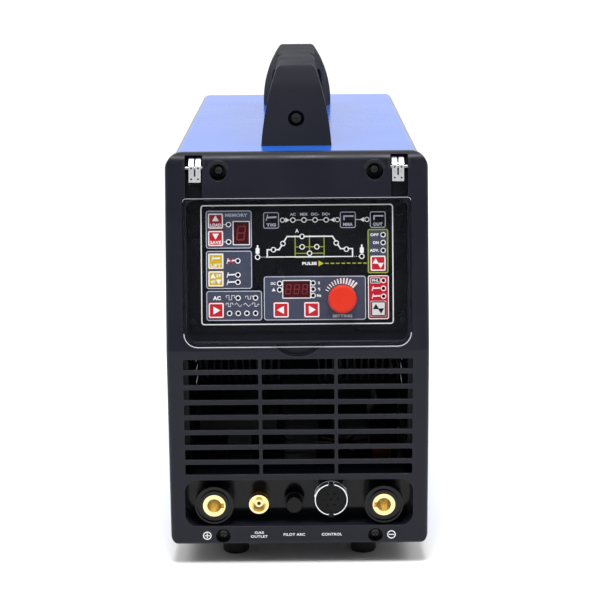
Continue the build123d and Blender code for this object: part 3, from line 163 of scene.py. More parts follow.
def coat(name, colour, rough, metal=0.0, gloss=0.5, grain=1200.0, height=0.00006, patch=0.14,
         rough_spread=0.08, lacquer=0.0, edge=0.0, stretch=(1.0, 1.0, 1.0)):
    """A finish with a fine surface grain, a slow change of tone, uneven sheen and paler worn edges."""
    made = bpy.data.materials.new(name)
    made.use_nodes = True
    tree = made.node_tree
    shader = tree.nodes["Principled BSDF"]
    shader.inputs["Metallic"].default_value = metal
    shader.inputs["Specular IOR Level"].default_value = gloss
    shader.inputs["Coat Weight"].default_value = lacquer
    shader.inputs["Coat Roughness"].default_value = LACQUER_ROUGH
    where = tree.nodes.new("ShaderNodeTexCoord")
    turned = tree.nodes.new("ShaderNodeMapping")
    turned.inputs["Scale"].default_value = stretch
    tree.links.new(where.outputs["Object"], turned.inputs["Vector"])

    fine = tree.nodes.new("ShaderNodeTexNoise")
    fine.inputs["Scale"].default_value = grain
    fine.inputs["Detail"].default_value = 2.0
    tree.links.new(turned.outputs["Vector"], fine.inputs["Vector"])
    bump = tree.nodes.new("ShaderNodeBump")
    bump.inputs["Strength"].default_value = BUMP_SHARE
    bump.inputs["Distance"].default_value = height
    tree.links.new(fine.outputs["Fac"], bump.inputs["Height"])
    tree.links.new(bump.outputs["Normal"], shader.inputs["Normal"])

    broad = tree.nodes.new("ShaderNodeTexNoise")
    broad.inputs["Scale"].default_value = TONE_SCALE
    broad.inputs["Detail"].default_value = 4.0
    tree.links.new(turned.outputs["Vector"], broad.inputs["Vector"])
    tone = tree.nodes.new("ShaderNodeMix")
    tone.data_type = "RGBA"
    tone.inputs["A"].default_value = tuple(c * (1 - patch) for c in colour[:3]) + (1.0,)
    tone.inputs["B"].default_value = tuple(min(1.0, c * (1 + patch)) for c in colour[:3]) + (1.0,)
    tree.links.new(broad.outputs["Fac"], tone.inputs["Factor"])
    last = tone.outputs["Result"]

    speck = tree.nodes.new("ShaderNodeMix")
    speck.data_type = "RGBA"
    speck.blend_type = "OVERLAY"
    speck.inputs["Factor"].default_value = SPECK_SHARE
    tree.links.new(last, speck.inputs["A"])
    tree.links.new(fine.outputs["Fac"], speck.inputs["B"])
    last = speck.outputs["Result"]

    if edge:
        rounded = tree.nodes.new("ShaderNodeBevel")
        rounded.samples = 4
        rounded.inputs["Radius"].default_value = EDGE_RADIUS
        flat = tree.nodes.new("ShaderNodeNewGeometry")
        meet = tree.nodes.new("ShaderNodeVectorMath")
        meet.operation = "DOT_PRODUCT"
        tree.links.new(rounded.outputs["Normal"], meet.inputs[0])
        tree.links.new(flat.outputs["Normal"], meet.inputs[1])
        worn = tree.nodes.new("ShaderNodeMapRange")
        worn.inputs["From Min"].default_value = EDGE_TURN[0]
        worn.inputs["From Max"].default_value = EDGE_TURN[1]
        worn.inputs["To Min"].default_value = 0.0
        worn.inputs["To Max"].default_value = edge
        tree.links.new(meet.outputs["Value"], worn.inputs["Value"])
        pale = tree.nodes.new("ShaderNodeMix")
        pale.data_type = "RGBA"
        rubbed = tuple(c * WORN_KEEP + WORN_ADD for c in colour[:3])
        pale.inputs["B"].default_value = rubbed + (1.0,)
        tree.links.new(worn.outputs["Result"], pale.inputs["Factor"])
        tree.links.new(last, pale.inputs["A"])
        tree.links.new(rounded.outputs["Normal"], bump.inputs["Normal"])
        last = pale.outputs["Result"]
    tree.links.new(last, shader.inputs["Base Color"])

    sheen = tree.nodes.new("ShaderNodeMapRange")
    sheen.inputs["From Min"].default_value = SHEEN_RANGE[0]
    sheen.inputs["From Max"].default_value = SHEEN_RANGE[1]
    sheen.inputs["To Min"].default_value = max(SMOOTHEST, rough - rough_spread)
    sheen.inputs["To Max"].default_value = min(1.0, rough + rough_spread)
    tree.links.new(broad.outputs["Fac"], sheen.inputs["Value"])
    tree.links.new(sheen.outputs["Result"], shader.inputs["Roughness"])
    return made


def dress(material, *names):
    """Gives a finish to the machine's own pieces."""
    for name in names:
        for held in nodes[name].material_slots:
            held.material = material


bezel_plastic = coat("bezel_plastic", BEZEL_COLOUR, 0.36, gloss=0.2, grain=BEZEL_GRAIN,
                     height=GRAIN_HEIGHT, edge=0.2)
dress(bezel_plastic, "front_bezel")


def line(points, width, closed=False):
    """A drawn line of one width, as one four-sided patch for each straight stretch."""
    pairs = list(zip(points, points[1:] + points[:1] if closed else points[1:]))
    patches = []
    for (x0, y0), (x1, y1) in pairs:
        span = Vector((x1 - x0, y1 - y0))
        along = span.normalized() * width / 2
        side = Vector((-along.y, along.x))
        start, end = Vector((x0, y0)) - along, Vector((x1, y1)) + along
        patches.append([start - side, end - side, end + side, start + side])
    return patches


def ring(x, y, outer, inner, steps=28):
    """A flat ring."""
    patches = []
    for step in range(steps):
        a, b = 2 * pi * step / steps, 2 * pi * (step + 1) / steps
        corners = ((outer, a), (outer, b), (inner, b), (inner, a))
        patches.append([Vector((x + r * cos(t), y + r * sin(t))) for r, t in corners])
    return patches


def lettering(text, x, y, cap, width=None, bold=0.02):
    """Plain upright capitals centred on a point, as flat patches. width stretches them to fit."""
    curve = bpy.data.curves.new("letters", "FONT")
    curve.body = text
    curve.offset = bold
    curve.space_character = LETTER_SPACING
    holder = bpy.data.objects.new("letters", curve)
    flat = bpy.data.meshes.new_from_object(holder)
    corners = [v.co.copy() for v in flat.vertices]
    low_x, high_x = min(c.x for c in corners), max(c.x for c in corners)
    low_y, high_y = min(c.y for c in corners), max(c.y for c in corners)
    tall = cap / (high_y - low_y)
    wide = width / (high_x - low_x) if width else tall
    patches = [
        [
            Vector((
                x + (corners[i].x - (low_x + high_x) / 2) * wide,
                y + (corners[i].y - (low_y + high_y) / 2) * tall,
            ))
            for i in face.vertices
        ]
        for face in flat.polygons
    ]
    bpy.data.objects.remove(holder)
    bpy.data.curves.remove(curve)
    bpy.data.meshes.remove(flat)
    return patches


def lay_ink(name, patches, place, material, body):
    """Makes one thin printed layer from flat patches. place turns drawing millimetres to metres."""
    points, faces = [], []
    for patch in patches:
        area = sum(a.x * b.y - b.x * a.y for a, b in zip(patch, patch[1:] + patch[:1]))
        turned = patch if area > 0 else patch[::-1]
        faces.append(range(len(points), len(points) + len(turned)))
        points += [place(p.x, p.y) for p in turned]
    mesh = bpy.data.meshes.new(name)
    mesh.from_pydata(points, [], [list(f) for f in faces])
    mesh.materials.append(material)
    layer = bpy.data.objects.new(name, mesh)
    bpy.context.scene.collection.objects.link(layer)
    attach(layer, body)
    return layer


def on_face(x, z):
    """A point of the lower front face, from its x and its height."""
    return Vector((x * MM, (FRONT_Y - LABEL_LIFT) * MM, z * MM))


def ink(name, colour, rough=0.5):
    """Screen-printing ink, slightly uneven where the mesh of the screen let it through."""
    return coat(name, colour, rough, gloss=0.3, grain=2600.0, height=0.00002, patch=0.05)


white_ink = ink("white_ink", INK_WHITE)
SIGN_X, SIGN_Z = 86.0, 29.0
SIGN_BAR, SIGN_STROKE = 2.0, 0.9
connector_marks = []
for x in (-SIGN_X, SIGN_X):
    connector_marks += ring(x, SIGN_Z, 4.0, 3.1)
    connector_marks += line([(x - SIGN_BAR, SIGN_Z), (x + SIGN_BAR, SIGN_Z)], SIGN_STROKE)
upright = [(-SIGN_X, SIGN_Z - SIGN_BAR), (-SIGN_X, SIGN_Z + SIGN_BAR)]
connector_marks += line(upright, SIGN_STROKE)
for word, x, z, cap, width in (
    ("GAS", -37.4, 31.7, 2.4, 8.6),
    ("OUTLET", -37.4, 27.9, 2.4, 15.8),
    ("PILOT ARC", -4.7, 29.6, 2.6, 20.0),
    ("CONTROL", 30.4, 29.6, 2.6, 18.8),
):
    connector_marks += lettering(word, x, z, cap, width)
lay_ink("connector_labels", connector_marks, on_face, white_ink, "machine")

# ---------------------------------------------------------------------------------------------
# Case. The cover is one folded steel sheet in gloss blue powder coat. Its inner faces and front
# edge are painted near black, painted shade for the dark inside seen through the slots. The tray
# and the back panel are coated grey, and the frame behind the bezel is dull zinc. The plate that
# carries the connectors is a glossy dark moulding.
# ---------------------------------------------------------------------------------------------
COVER_BLUE = linear(36, 98, 200)
# Near black: painted shade for the inside of the cover sheet.
INSIDE_SHADE = linear(16, 16, 19)
SHEET_EDGE_X = 0.11485
SHEET_EDGE_Z = 0.3792


def shade_inside(material):
    """Paints all but the outer skin of the folded sheet near black, as painted shade for the inside."""
    tree = material.node_tree
    shader = tree.nodes["Principled BSDF"]
    where = tree.nodes.new("ShaderNodeTexCoord")
    axes = tree.nodes.new("ShaderNodeSeparateXYZ")
    tree.links.new(where.outputs["Object"], axes.inputs[0])
    across = tree.nodes.new("ShaderNodeMath")
    across.operation = "ABSOLUTE"
    tree.links.new(axes.outputs["X"], across.inputs[0])
    tests = []
    for value, limit in ((across.outputs[0], SHEET_EDGE_X), (axes.outputs["Z"], SHEET_EDGE_Z)):
        test = tree.nodes.new("ShaderNodeMath")
        test.operation = "LESS_THAN"
        test.inputs[1].default_value = limit
        tree.links.new(value, test.inputs[0])
        tests.append(test)
    both = tree.nodes.new("ShaderNodeMath")
    both.operation = "MULTIPLY"
    tree.links.new(tests[0].outputs[0], both.inputs[0])
    tree.links.new(tests[1].outputs[0], both.inputs[1])
    mixed = tree.nodes.new("ShaderNodeMix")
    mixed.data_type = "RGBA"
    mixed.inputs["B"].default_value = INSIDE_SHADE
    tree.links.new(both.outputs[0], mixed.inputs["Factor"])
    tree.links.new(shader.inputs["Base Color"].links[0].from_socket, mixed.inputs["A"])
    tree.links.new(mixed.outputs["Result"], shader.inputs["Base Color"])


blue_coat = coat("blue_coat", COVER_BLUE, 0.2, gloss=0.37, grain=420.0, height=0.00001, patch=0.03,
                 rough_spread=0.012)
# Painted shade: the inner faces and front edge of the cover sheet are made near black.
shade_inside(blue_coat)
grey_coat = coat("grey_coat", linear(52, 54, 60), 0.4, grain=700.0, height=0.0001, edge=0.3)
back_coat = coat("back_coat", linear(52, 54, 62), 0.4, grain=700.0, height=0.0001, edge=0.3)
plate_moulding = coat("plate_moulding", linear(16, 17, 23), 0.12, gloss=0.22, grain=300.0,
                      height=0.00002, rough_spread=0.04)
dark_zinc = coat("dark_zinc", linear(60, 61, 64), 0.4, metal=1.0, grain=600.0)
dress(blue_coat, "top_cover")
dress(grey_coat, "base_tray")
dress(dark_zinc, "front_frame")
dress(back_coat, "rear_panel")
dress(plate_moulding, "connector_plate")

# ---------------------------------------------------------------------------------------------
# Screws and feet. The case and foot screws are zinc plated. The ones deep in the bezel and the
# handle are blackened steel, darkened further as painted shade so that their deep holes read dark.
# The feet are moulded rubber with a dusty, matt skin.
# ---------------------------------------------------------------------------------------------
zinc = coat("zinc", linear(176, 178, 180), 0.32, metal=1.0, grain=900.0, patch=0.12)
# Near black: blackened steel, darkened further as painted shade for the deep screw holes.
blackened_steel_and_shade = coat("blackened_steel_and_shade", linear(16, 16, 19), 0.3, metal=0.2, grain=900.0, patch=0.2)
foot_skin = coat("foot_skin", linear(22, 22, 24), 0.8, gloss=0.25, grain=900.0, height=0.0002)
dress(zinc, "case_screws", "foot_screws")
dress(blackened_steel_and_shade, "access_hole_screws", "panel_screws")
dress(foot_skin, "feet")

# ---------------------------------------------------------------------------------------------
# Handle. One moulded nylon grip with a fine grain, screwed through its two legs to plated
# steel angles that stand on the cover.
# ---------------------------------------------------------------------------------------------
handle_nylon = coat("handle_nylon", linear(36, 37, 44), 0.55, gloss=0.03, grain=1100.0,
                    height=0.00014)
plated = coat("plated", linear(168, 168, 162), 0.35, metal=1.0, grain=600.0, stretch=(1, 6, 1))
dress(handle_nylon, "handle")
dress(plated, "handle_brackets")

# ---------------------------------------------------------------------------------------------
# Flap and hinges. The flap is a clear moulding with polished edges that swings up over the
# controls; a pale line round its edges is a painted highlight. Bright forked clips hold it on two
# steel pins, and their small dimples are dark dots, painted shade in place of hollows.
# ---------------------------------------------------------------------------------------------
BEND_Z = 207.0
LEAN = radians(12.24)
PANEL_MID = 78.5
FLAP_FACE = -0.3
FLAP_HALF, FLAP_LOW, FLAP_HIGH = 104.0, 3.0, 139.0
FLAP_LOW_CORNER, FLAP_HIGH_CORNER = 13.0, 3.0
CLIP_X, CLIP_FACE = 92.5, 0.4
DIMPLE_RADIUS, DIMPLE_HOLE = 0.9, 0.05
CORNER_STEPS = 6
INK_LIFT = 0.04             # mm between a face and what is printed on it
CLEAR_ROUGH = (0.02, 0.14)
EDGE_ALPHA, FACE_ALPHA = 0.55, 0.05

clear = bpy.data.materials.new("clear")
clear.use_nodes = True
clear_shader = clear.node_tree.nodes["Principled BSDF"]
clear_shader.inputs["Base Color"].default_value = linear(30, 33, 40)
clear_shader.inputs["Specular IOR Level"].default_value = 0.6
clear_where = clear.node_tree.nodes.new("ShaderNodeTexCoord")
clear_haze = clear.node_tree.nodes.new("ShaderNodeTexNoise")
clear_haze.inputs["Scale"].default_value = 30.0
clear_range = clear.node_tree.nodes.new("ShaderNodeMapRange")
clear_range.inputs["To Min"].default_value = CLEAR_ROUGH[0]
clear_range.inputs["To Max"].default_value = CLEAR_ROUGH[1]
clear.node_tree.links.new(clear_where.outputs["Object"], clear_haze.inputs["Vector"])
clear.node_tree.links.new(clear_haze.outputs["Fac"], clear_range.inputs["Value"])
clear.node_tree.links.new(clear_range.outputs["Result"], clear_shader.inputs["Roughness"])
clear_turn = clear.node_tree.nodes.new("ShaderNodeVectorMath")
clear_turn.operation = "DOT_PRODUCT"
clear_turn.inputs[1].default_value = (0.0, -cos(LEAN), sin(LEAN))
clear_size = clear.node_tree.nodes.new("ShaderNodeMath")
clear_size.operation = "ABSOLUTE"
clear_alpha = clear.node_tree.nodes.new("ShaderNodeMapRange")
clear_alpha.inputs["From Min"].default_value = 0.7
clear_alpha.inputs["From Max"].default_value = 0.98
clear_alpha.inputs["To Min"].default_value = EDGE_ALPHA
clear_alpha.inputs["To Max"].default_value = FACE_ALPHA
clear.node_tree.links.new(clear_where.outputs["Normal"], clear_turn.inputs[0])
clear.node_tree.links.new(clear_turn.outputs["Value"], clear_size.inputs[0])
clear.node_tree.links.new(clear_size.outputs[0], clear_alpha.inputs["Value"])
clear.node_tree.links.new(clear_alpha.outputs["Result"], clear_shader.inputs["Alpha"])
bright = coat("bright", linear(232, 234, 238), 0.22, metal=0.55, grain=500.0, patch=0.05)
pin_steel = coat("pin_steel", linear(160, 160, 162), 0.25, metal=1.0, stretch=(8, 1, 1))
# Pale ink for the painted highlight round the flap's polished edges.
edge_highlight_ink = ink("edge_highlight_ink", linear(196, 200, 212), 0.2)
# Near black ink for the clips' dimples: painted shade in place of hollows.
dimple_shade_ink = ink("dimple_shade_ink", linear(16, 16, 18))
dress(clear, "clear_flap")
dress(bright, "hinge_clips")
dress(pin_steel, "hinge_pins")


def on_panel(out):
    """Turns a drawing point, from the panel's middle, to its place on the leaning front."""
    def place(x, y):
        up = PANEL_MID + y
        back = FRONT_Y + up * sin(LEAN) - out * cos(LEAN)
        return Vector((x * MM, back * MM, (BEND_Z + up * cos(LEAN) + out * sin(LEAN)) * MM))
    return place


def rounded(x0, x1, y0, y1, corner):
    """The outline of a rectangle with rounded corners."""
    middles = ((x1 - corner, y1 - corner, 0), (x0 + corner, y1 - corner, 1),
               (x0 + corner, y0 + corner, 2), (x1 - corner, y0 + corner, 3))
    outline = []
    for x, y, quarter in middles:
        for step in range(CORNER_STEPS + 1):
            turn = pi / 2 * (quarter + step / CORNER_STEPS)
            outline.append(Vector((x + corner * cos(turn), y + corner * sin(turn))))
    return outline


def frame_line(x0, x1, y0, y1, corner, width):
    """A rounded rectangular outline, drawn inwards from its outer edge."""
    outer = rounded(x0, x1, y0, y1, corner)
    inner = rounded(x0 + width, x1 - width, y0 + width, y1 - width, max(0.05, corner - width))
    after = list(range(1, len(outer))) + [0]
    return [[outer[i], outer[j], inner[j], inner[i]] for i, j in enumerate(after)]


# The pale line round the flap's edges is a painted highlight, broader along the bottom.
flap_foot, flap_top = FLAP_LOW - PANEL_MID, FLAP_HIGH - PANEL_MID
bend_above, bend_below = flap_foot + 15.5, flap_foot + 20.5
flap_edges = frame_line(-FLAP_HALF, FLAP_HALF, flap_foot, flap_top, FLAP_HIGH_CORNER, 0.4)
flap_edges = [patch for patch in flap_edges if all(p.y > bend_above for p in patch)]
lower_edge = frame_line(-FLAP_HALF, FLAP_HALF, flap_foot, 0.0, FLAP_LOW_CORNER, 0.8)
flap_edges += [patch for patch in lower_edge if all(p.y < bend_below for p in patch)]
lay_ink("flap_edge", flap_edges, on_panel(FLAP_FACE + INK_LIFT), edge_highlight_ink, "flap")
# The clips' dimples are flat dark dots of painted shade, not hollows.
dimples = []
for side in (-1, 1):
    for across in (-3.1, 3.1):
        for up in (156.6, 166.4):
            dimples += ring(side * CLIP_X + across, up - PANEL_MID, DIMPLE_RADIUS, DIMPLE_HOLE, 14)
lay_ink("clip_dimples", dimples, on_panel(CLIP_FACE + INK_LIFT), dimple_shade_ink, "flap")

# ---------------------------------------------------------------------------------------------
# Control panel. A black lacquered aluminium plate, screen printed in several inks: a white
# border, boxes for each group of settings, the weld cycle graph, and rings round the lamps.
# ---------------------------------------------------------------------------------------------
PLATE_FACE = -16.0
FILL_LIFT, LINE_LIFT, WORD_LIFT = 0.03, 0.06, 0.09
LAMP_RING, LAMP_HOLE = 2.5, 1.7
LAMP_APART = 3.0
BOX_LINE, BOX_CORNER = 0.8, 2.5
LAMP_BOX_CORNER = 2.0
ARROW_TIP, ARROW_FOOT, ARROW_HALF = 0.62, -0.42, 0.6
WAVE_STROKE = 0.42

plate_black = coat("plate_black", linear(13, 14, 20), 0.3, gloss=0.2, grain=900.0, height=0.00001)
pale_ink = ink("pale_ink", linear(190, 196, 212))
slate_ink = ink("slate_ink", linear(66, 71, 92))
lime_ink = ink("lime_ink", linear(160, 174, 66))
red_ink = ink("red_ink", linear(190, 14, 42))
yellow_ink = ink("yellow_ink", linear(196, 196, 50))
black_ink = ink("black_ink", linear(12, 12, 14))
dress(plate_black, "panel_plate")


def clip(shape, axis, limit, above):
    """The part of a convex outline on one side of a level."""
    kept = []
    for a, b in zip(shape, shape[1:] + shape[:1]):
        inside_a, inside_b = (a[axis] >= limit) == above, (b[axis] >= limit) == above
        if inside_a:
            kept.append(a)
        if inside_a != inside_b:
            kept.append(a.lerp(b, (limit - a[axis]) / (b[axis] - a[axis])))
    return kept


def fill(x0, x1, y0, y1, corner, window=None):
    """A printed field, left open over a display's window."""
    field = rounded(x0, x1, y0, y1, corner)
    if window is None:
        return [field]
    left, right, low, high = window
    middle = clip(clip(field, 0, left, True), 0, right, False)
    return [clip(field, 0, left, False), clip(field, 0, right, True),
            clip(middle, 1, high, True), clip(middle, 1, low, False)]


def arrow(x, y, size, turn):
    """A solid triangle that points up at 0 degrees and turns to the left."""
    corners = ((0.0, ARROW_TIP), (-ARROW_HALF, ARROW_FOOT), (ARROW_HALF, ARROW_FOOT))
    a = radians(turn)
    return [[Vector((x + size * (u * cos(a) - v * sin(a)), y + size * (u * sin(a) + v * cos(a))))
             for u, v in corners]]


def torch(x, y, size=1.0):
    """A small welding torch: a slanted electrode and a thick handle."""
    electrode = [(x - 2.8 * size, y - 1.5 * size), (x - 2.0 * size, y + 1.5 * size)]
    handle = [(x - 2.0 * size, y + 0.1 * size), (x + 2.6 * size, y + 0.3 * size)]
    return line(electrode, 0.5 * size) + line(handle, 0.95 * size)


def bent_bar(x, y, size=1.0):
    """A stick electrode's holder or a cutting torch: a bar with its end bent down."""
    left, right, level = x - 2.2 * size, x + 2.8 * size, y + 0.6 * size
    return line([(left, y - 1.3 * size), (left, level), (right, level)], 0.85 * size)


def bottle(x, y):
    """A gas bottle with its neck."""
    return fill(x - 1.8, x + 1.8, y, y + 5.6, 1.0) + fill(x - 0.7, x + 0.7, y + 5.4, y + 8.0, 0.3)


def wave(x, y, kind, wide=5.4, tall=2.2):
    """One cycle of a current: square, soft, pointed or mixed."""
    shapes = {
        "square": ((0, 0), (0, 1), (0.33, 1), (0.33, -1), (0.66, -1), (0.66, 1), (1, 1), (1, 0)),
        "soft": tuple((t / 12, sin(2 * pi * t / 12)) for t in range(13)),
        "pointed": ((0, 0), (0.25, 1), (0.75, -1), (1, 0)),
        "mixed": ((0, 0), (0, 1), (0.4, 1), (0.4, -1), (0.7, -1), (0.85, 0.4), (1, 0)),
    }
    points = [(x + (t - 0.5) * wide, y + s * tall / 2) for t, s in shapes[kind]]
    return line(points, WAVE_STROKE)


WINDOW_ONE = (-58.2, -44.0, 19.0, 39.6)
WINDOW_THREE = (-13.0, 11.8, -30.4, -15.0)
MEMORY_BOX = (-83.7, -41.5, 15.2, 50.0)
START_BOX = (-83.7, -41.5, -21.9, 13.1)
WAVE_BOX = (-83.7, -32.5, -51.1, -23.7)
SETTING_BOX = (-30.8, 63.0, -51.1, -10.7)
PULSE_BOX = (64.9, 83.9, -8.5, 32.1)
REMOTE_BOX = (64.9, 84.1, -50.8, -10.5)

LABEL_PATCH = (67.2, 76.4, -17.8, -12.6)
WINDOW_FRAMES = ((-59.0, -43.2, 18.2, 40.4), (-13.8, 12.6, -31.2, -14.2))

slate = fill(*MEMORY_BOX, BOX_CORNER, WINDOW_ONE)
slate += fill(*START_BOX, BOX_CORNER) + fill(*WAVE_BOX, BOX_CORNER)
slate += fill(*PULSE_BOX, LAMP_BOX_CORNER)
slate += fill(*SETTING_BOX, BOX_CORNER, WINDOW_THREE)
lay_ink("panel_slate", slate, on_panel(PLATE_FACE + FILL_LIFT), slate_ink, "machine")
lay_ink("panel_red", fill(*REMOTE_BOX, LAMP_BOX_CORNER), on_panel(PLATE_FACE + FILL_LIFT), red_ink,
        "machine")

# The row of processes along the top, and the captions in the softer white.
MODES = (("TIG", -23.6, torch), ("MMA", 46.9, bent_bar), ("CUT", 74.4, bent_bar))
CURRENTS = (("AC", -3.6, 5.2), ("MIX", 6.6, 7.2), ("DC-", 16.8, 7.2), ("DC+", 27.0, 7.2))
CHOICE_Y = 40.9
pale = []
for box in (MEMORY_BOX, START_BOX, WAVE_BOX, SETTING_BOX):
    pale += frame_line(*box, BOX_CORNER, BOX_LINE)
for word, x, picture in MODES:
    pale += frame_line(x - 7.2, x + 7.2, 33.3, 48.2, 1.8, 0.7)
    pale += lettering(word, x, 36.6, 2.8, 8.8, 0.05) + picture(x, 43.2, 1.6)
for word, x, width in CURRENTS:
    pale += lettering(word, x, 46.2, 2.6, width, 0.05)
pale += lettering("MEMORY", -55.6, 45.8, 3.0, 20.6, 0.04)
pale += lettering("SETTING", 41.3, -47.6, 2.6, 18.0, 0.04)
lay_ink("panel_pale", pale, on_panel(PLATE_FACE + LINE_LIFT), pale_ink, "machine")
lay_ink("panel_label_patch", fill(*LABEL_PATCH, 0.8), on_panel(PLATE_FACE + LINE_LIFT), black_ink,
        "machine")

# The border, then the weld cycle: its line, the gas bottles at its ends and their dots.
GROUND_Y = 7.1
GRAPH_LEFT, GRAPH_RIGHT = -27.4, 51.0
GRAPH = [(GRAPH_LEFT - 0.7, GROUND_Y), (GRAPH_LEFT, GROUND_Y), (GRAPH_LEFT, 13.8), (-16.5, 13.8),
         (-9.1, 25.8), (32.6, 25.8), (40.0, 14.3), (GRAPH_RIGHT, 14.3), (GRAPH_RIGHT, GROUND_Y)]
white = frame_line(-88.5, 88.5, -55.15, 55.15, 3.0, 1.0)
white += line(GRAPH, 1.2) + line([(GRAPH_LEFT - 0.7, GROUND_Y), (GRAPH_RIGHT, GROUND_Y)], 0.9)
white += lettering("A", 0.1, 31.0, 3.4, 3.4, 0.03)
for x in (-36.3, 59.5):
    white += bottle(x, 10.0)
for x in (-33.0, -31.3, -29.6, 53.0, 54.7, 56.4):
    white += ring(x, GROUND_Y, 0.35, 0.02, 8)

# The words and small pictures beside the lamps.
for word, x, y, cap, width, bold in (
    ("PULSE", 11.4, 0.9, 2.8, 13.4, 0.04),
    ("AC", -74.0, -30.3, 3.8, 7.4, 0.05),
    ("OFF", 71.2, 26.8, 2.6, 7.6, 0.04),
    ("ON", 72.4, 19.6, 2.6, 5.2, 0.04),
    ("ADV.", 71.0, 12.5, 2.6, 8.4, 0.04),
    ("OC", -22.2, -17.3, 2.4, 4.6, 0.05),
    ("S", 20.0, -17.0, 2.5, None, 0.05),
    ("%", 20.0, -22.8, 2.5, None, 0.05),
    ("Hz", 20.0, -28.6, 2.5, None, 0.05),
    ("PNL", 71.8, -15.2, 2.4, 6.2, 0.03),
):
    white += lettering(word, x, y, cap, width, bold)
white += wave(-61.6, -30.0, "square", 7.4, 4.0) + wave(-44.2, -30.0, "square", 7.0, 2.8)
for x, kind in ((-62.5, "square"), (-54.5, "soft"), (-46.4, "pointed"), (-38.5, "mixed")):
    white += wave(x, -36.6, kind, 6.2, 3.2)
for y in (3.8, -9.1, -15.8):
    white += torch(-60.6, y, 1.4)
for y in (-22.5, -29.7):
    white += torch(72.4, y, 1.3)
white += arrow(-21.8, -23.1, 3.0, 0)
for y in (37.2, 21.3):
    white += line([(-67.3, y), (-65.2, y)], 0.5)
white += frame_line(*LABEL_PATCH, 0.8, 0.5)

# The rings, pointers and links between the processes.
for x, side in ((-13.2, 1), (37.3, -1), (64.4, -1)):
    white += ring(x, CHOICE_Y, 2.3, 1.6, 20) + arrow(x + side * 4.2, CHOICE_Y, 3.8, -90 * side)
for x0, x1 in ((-8.0, -6.1), (29.5, 32.0), (-1.1, 4.1), (9.1, 14.3), (19.3, 24.5), (54.1, 58.6)):
    white += line([(x0, CHOICE_Y), (x1, CHOICE_Y)], 0.5)

# The scale round the knob, whose marks grow longer and thicker clockwise.
KNOB = (41.3, -32.0)
TICKS = 12
TICK_START, TICK_SWEEP = 150.0, 102.0
TICK_NEAR, TICK_FAR, TICK_LONGER = 14.8, 17.4, 2.0
TICK_THIN, TICK_THICKER = 0.8, 1.0
for step in range(TICKS):
    share = step / (TICKS - 1)
    turn = radians(TICK_START - TICK_SWEEP * share)
    reach = (TICK_NEAR, TICK_FAR + TICK_LONGER * share)
    ends = [(KNOB[0] + r * cos(turn), KNOB[1] + r * sin(turn)) for r in reach]
    white += line(ends, TICK_THIN + TICK_THICKER * share)

# A ring round every lamp, found from where the lamps stand.
points = [v.co for v in nodes["indicator_lamps"].data.vertices]
lamp_middles = []
for point in points:
    up = (point.z / MM - BEND_Z) * cos(LEAN) + (point.y / MM - FRONT_Y) * sin(LEAN)
    spot = Vector((point.x / MM, up - PANEL_MID))
    near = [group for group in lamp_middles if (group[0] - spot).length < LAMP_APART]
    if near:
        near[0].append(spot)
    else:
        lamp_middles.append([spot])
for group in lamp_middles:
    x = (min(p.x for p in group) + max(p.x for p in group)) / 2
    y = (min(p.y for p in group) + max(p.y for p in group)) / 2
    white += ring(x, y, LAMP_RING, LAMP_HOLE, 20)
lay_ink("panel_white", white, on_panel(PLATE_FACE + WORD_LIFT), white_ink, "machine")

# The pulse's frame and dashes, the red cross on the first torch, and the frames over the fills.
PULSE_LEFT, PULSE_MIDDLE, PULSE_RIGHT = -1.7, 11.5, 24.9
DASHES, DASH_FROM, DASH_LONG, DASH_STEP = 8, 26.2, 2.4, 5.0
CROSS_LEFT, CROSS_RIGHT, CROSS_LOW, CROSS_HIGH = -63.0, -58.6, 1.2, 6.4
lime = frame_line(*PULSE_BOX, LAMP_BOX_CORNER, 1.0)
for x in (PULSE_LEFT, PULSE_MIDDLE, PULSE_RIGHT):
    lime += line([(x, 6.7), (x, 26.7)], 0.8)
for y in (16.2, 10.3, 6.5):
    lime += line([(PULSE_LEFT, y), (PULSE_RIGHT, y)], 0.7)
lay_ink("panel_lime", lime, on_panel(PLATE_FACE + LINE_LIFT), lime_ink, "machine")
yellow = arrow(21.6, 0.9, 4.6, -90)
for step in range(DASHES):
    start = DASH_FROM + DASH_STEP * step
    yellow += line([(start, 0.9), (start + DASH_LONG, 0.9)], 0.8)
lay_ink("panel_yellow", yellow, on_panel(PLATE_FACE + LINE_LIFT), yellow_ink, "machine")
crossed = line([(CROSS_LEFT, CROSS_HIGH), (CROSS_RIGHT, CROSS_LOW)], 0.8)
crossed += line([(CROSS_LEFT, CROSS_LOW), (CROSS_RIGHT, CROSS_HIGH)], 0.8)
lay_ink("panel_cross", crossed, on_panel(PLATE_FACE + WORD_LIFT + FILL_LIFT), red_ink, "machine")
frames = frame_line(*REMOTE_BOX, LAMP_BOX_CORNER, BOX_LINE)
for window in WINDOW_FRAMES:
    frames += frame_line(*window, 0.6, BOX_LINE)
lay_ink("panel_frames", frames, on_panel(PLATE_FACE + WORD_LIFT), white_ink, "machine")

# ---------------------------------------------------------------------------------------------
# Displays and lamps. Smoked red windows over seven-segment digits that are off and just show,
# and small domed lamps of dark tinted resin.
# ---------------------------------------------------------------------------------------------
DISPLAY_FACE = -16.6
DIGIT_SLANT = 0.12
DIGIT_GAP, DIGIT_STROKE = 0.45, 0.8     # of the stroke

smoked = coat("smoked", linear(66, 15, 20), 0.12, gloss=0.5, grain=500.0, height=0.00001)
ghost = ink("ghost", linear(128, 40, 48), 0.3)
lamp_resin = coat("lamp_resin", linear(34, 10, 13), 0.15, gloss=0.5, height=0.00001)
dress(smoked, "displays")
dress(lamp_resin, "indicator_lamps")


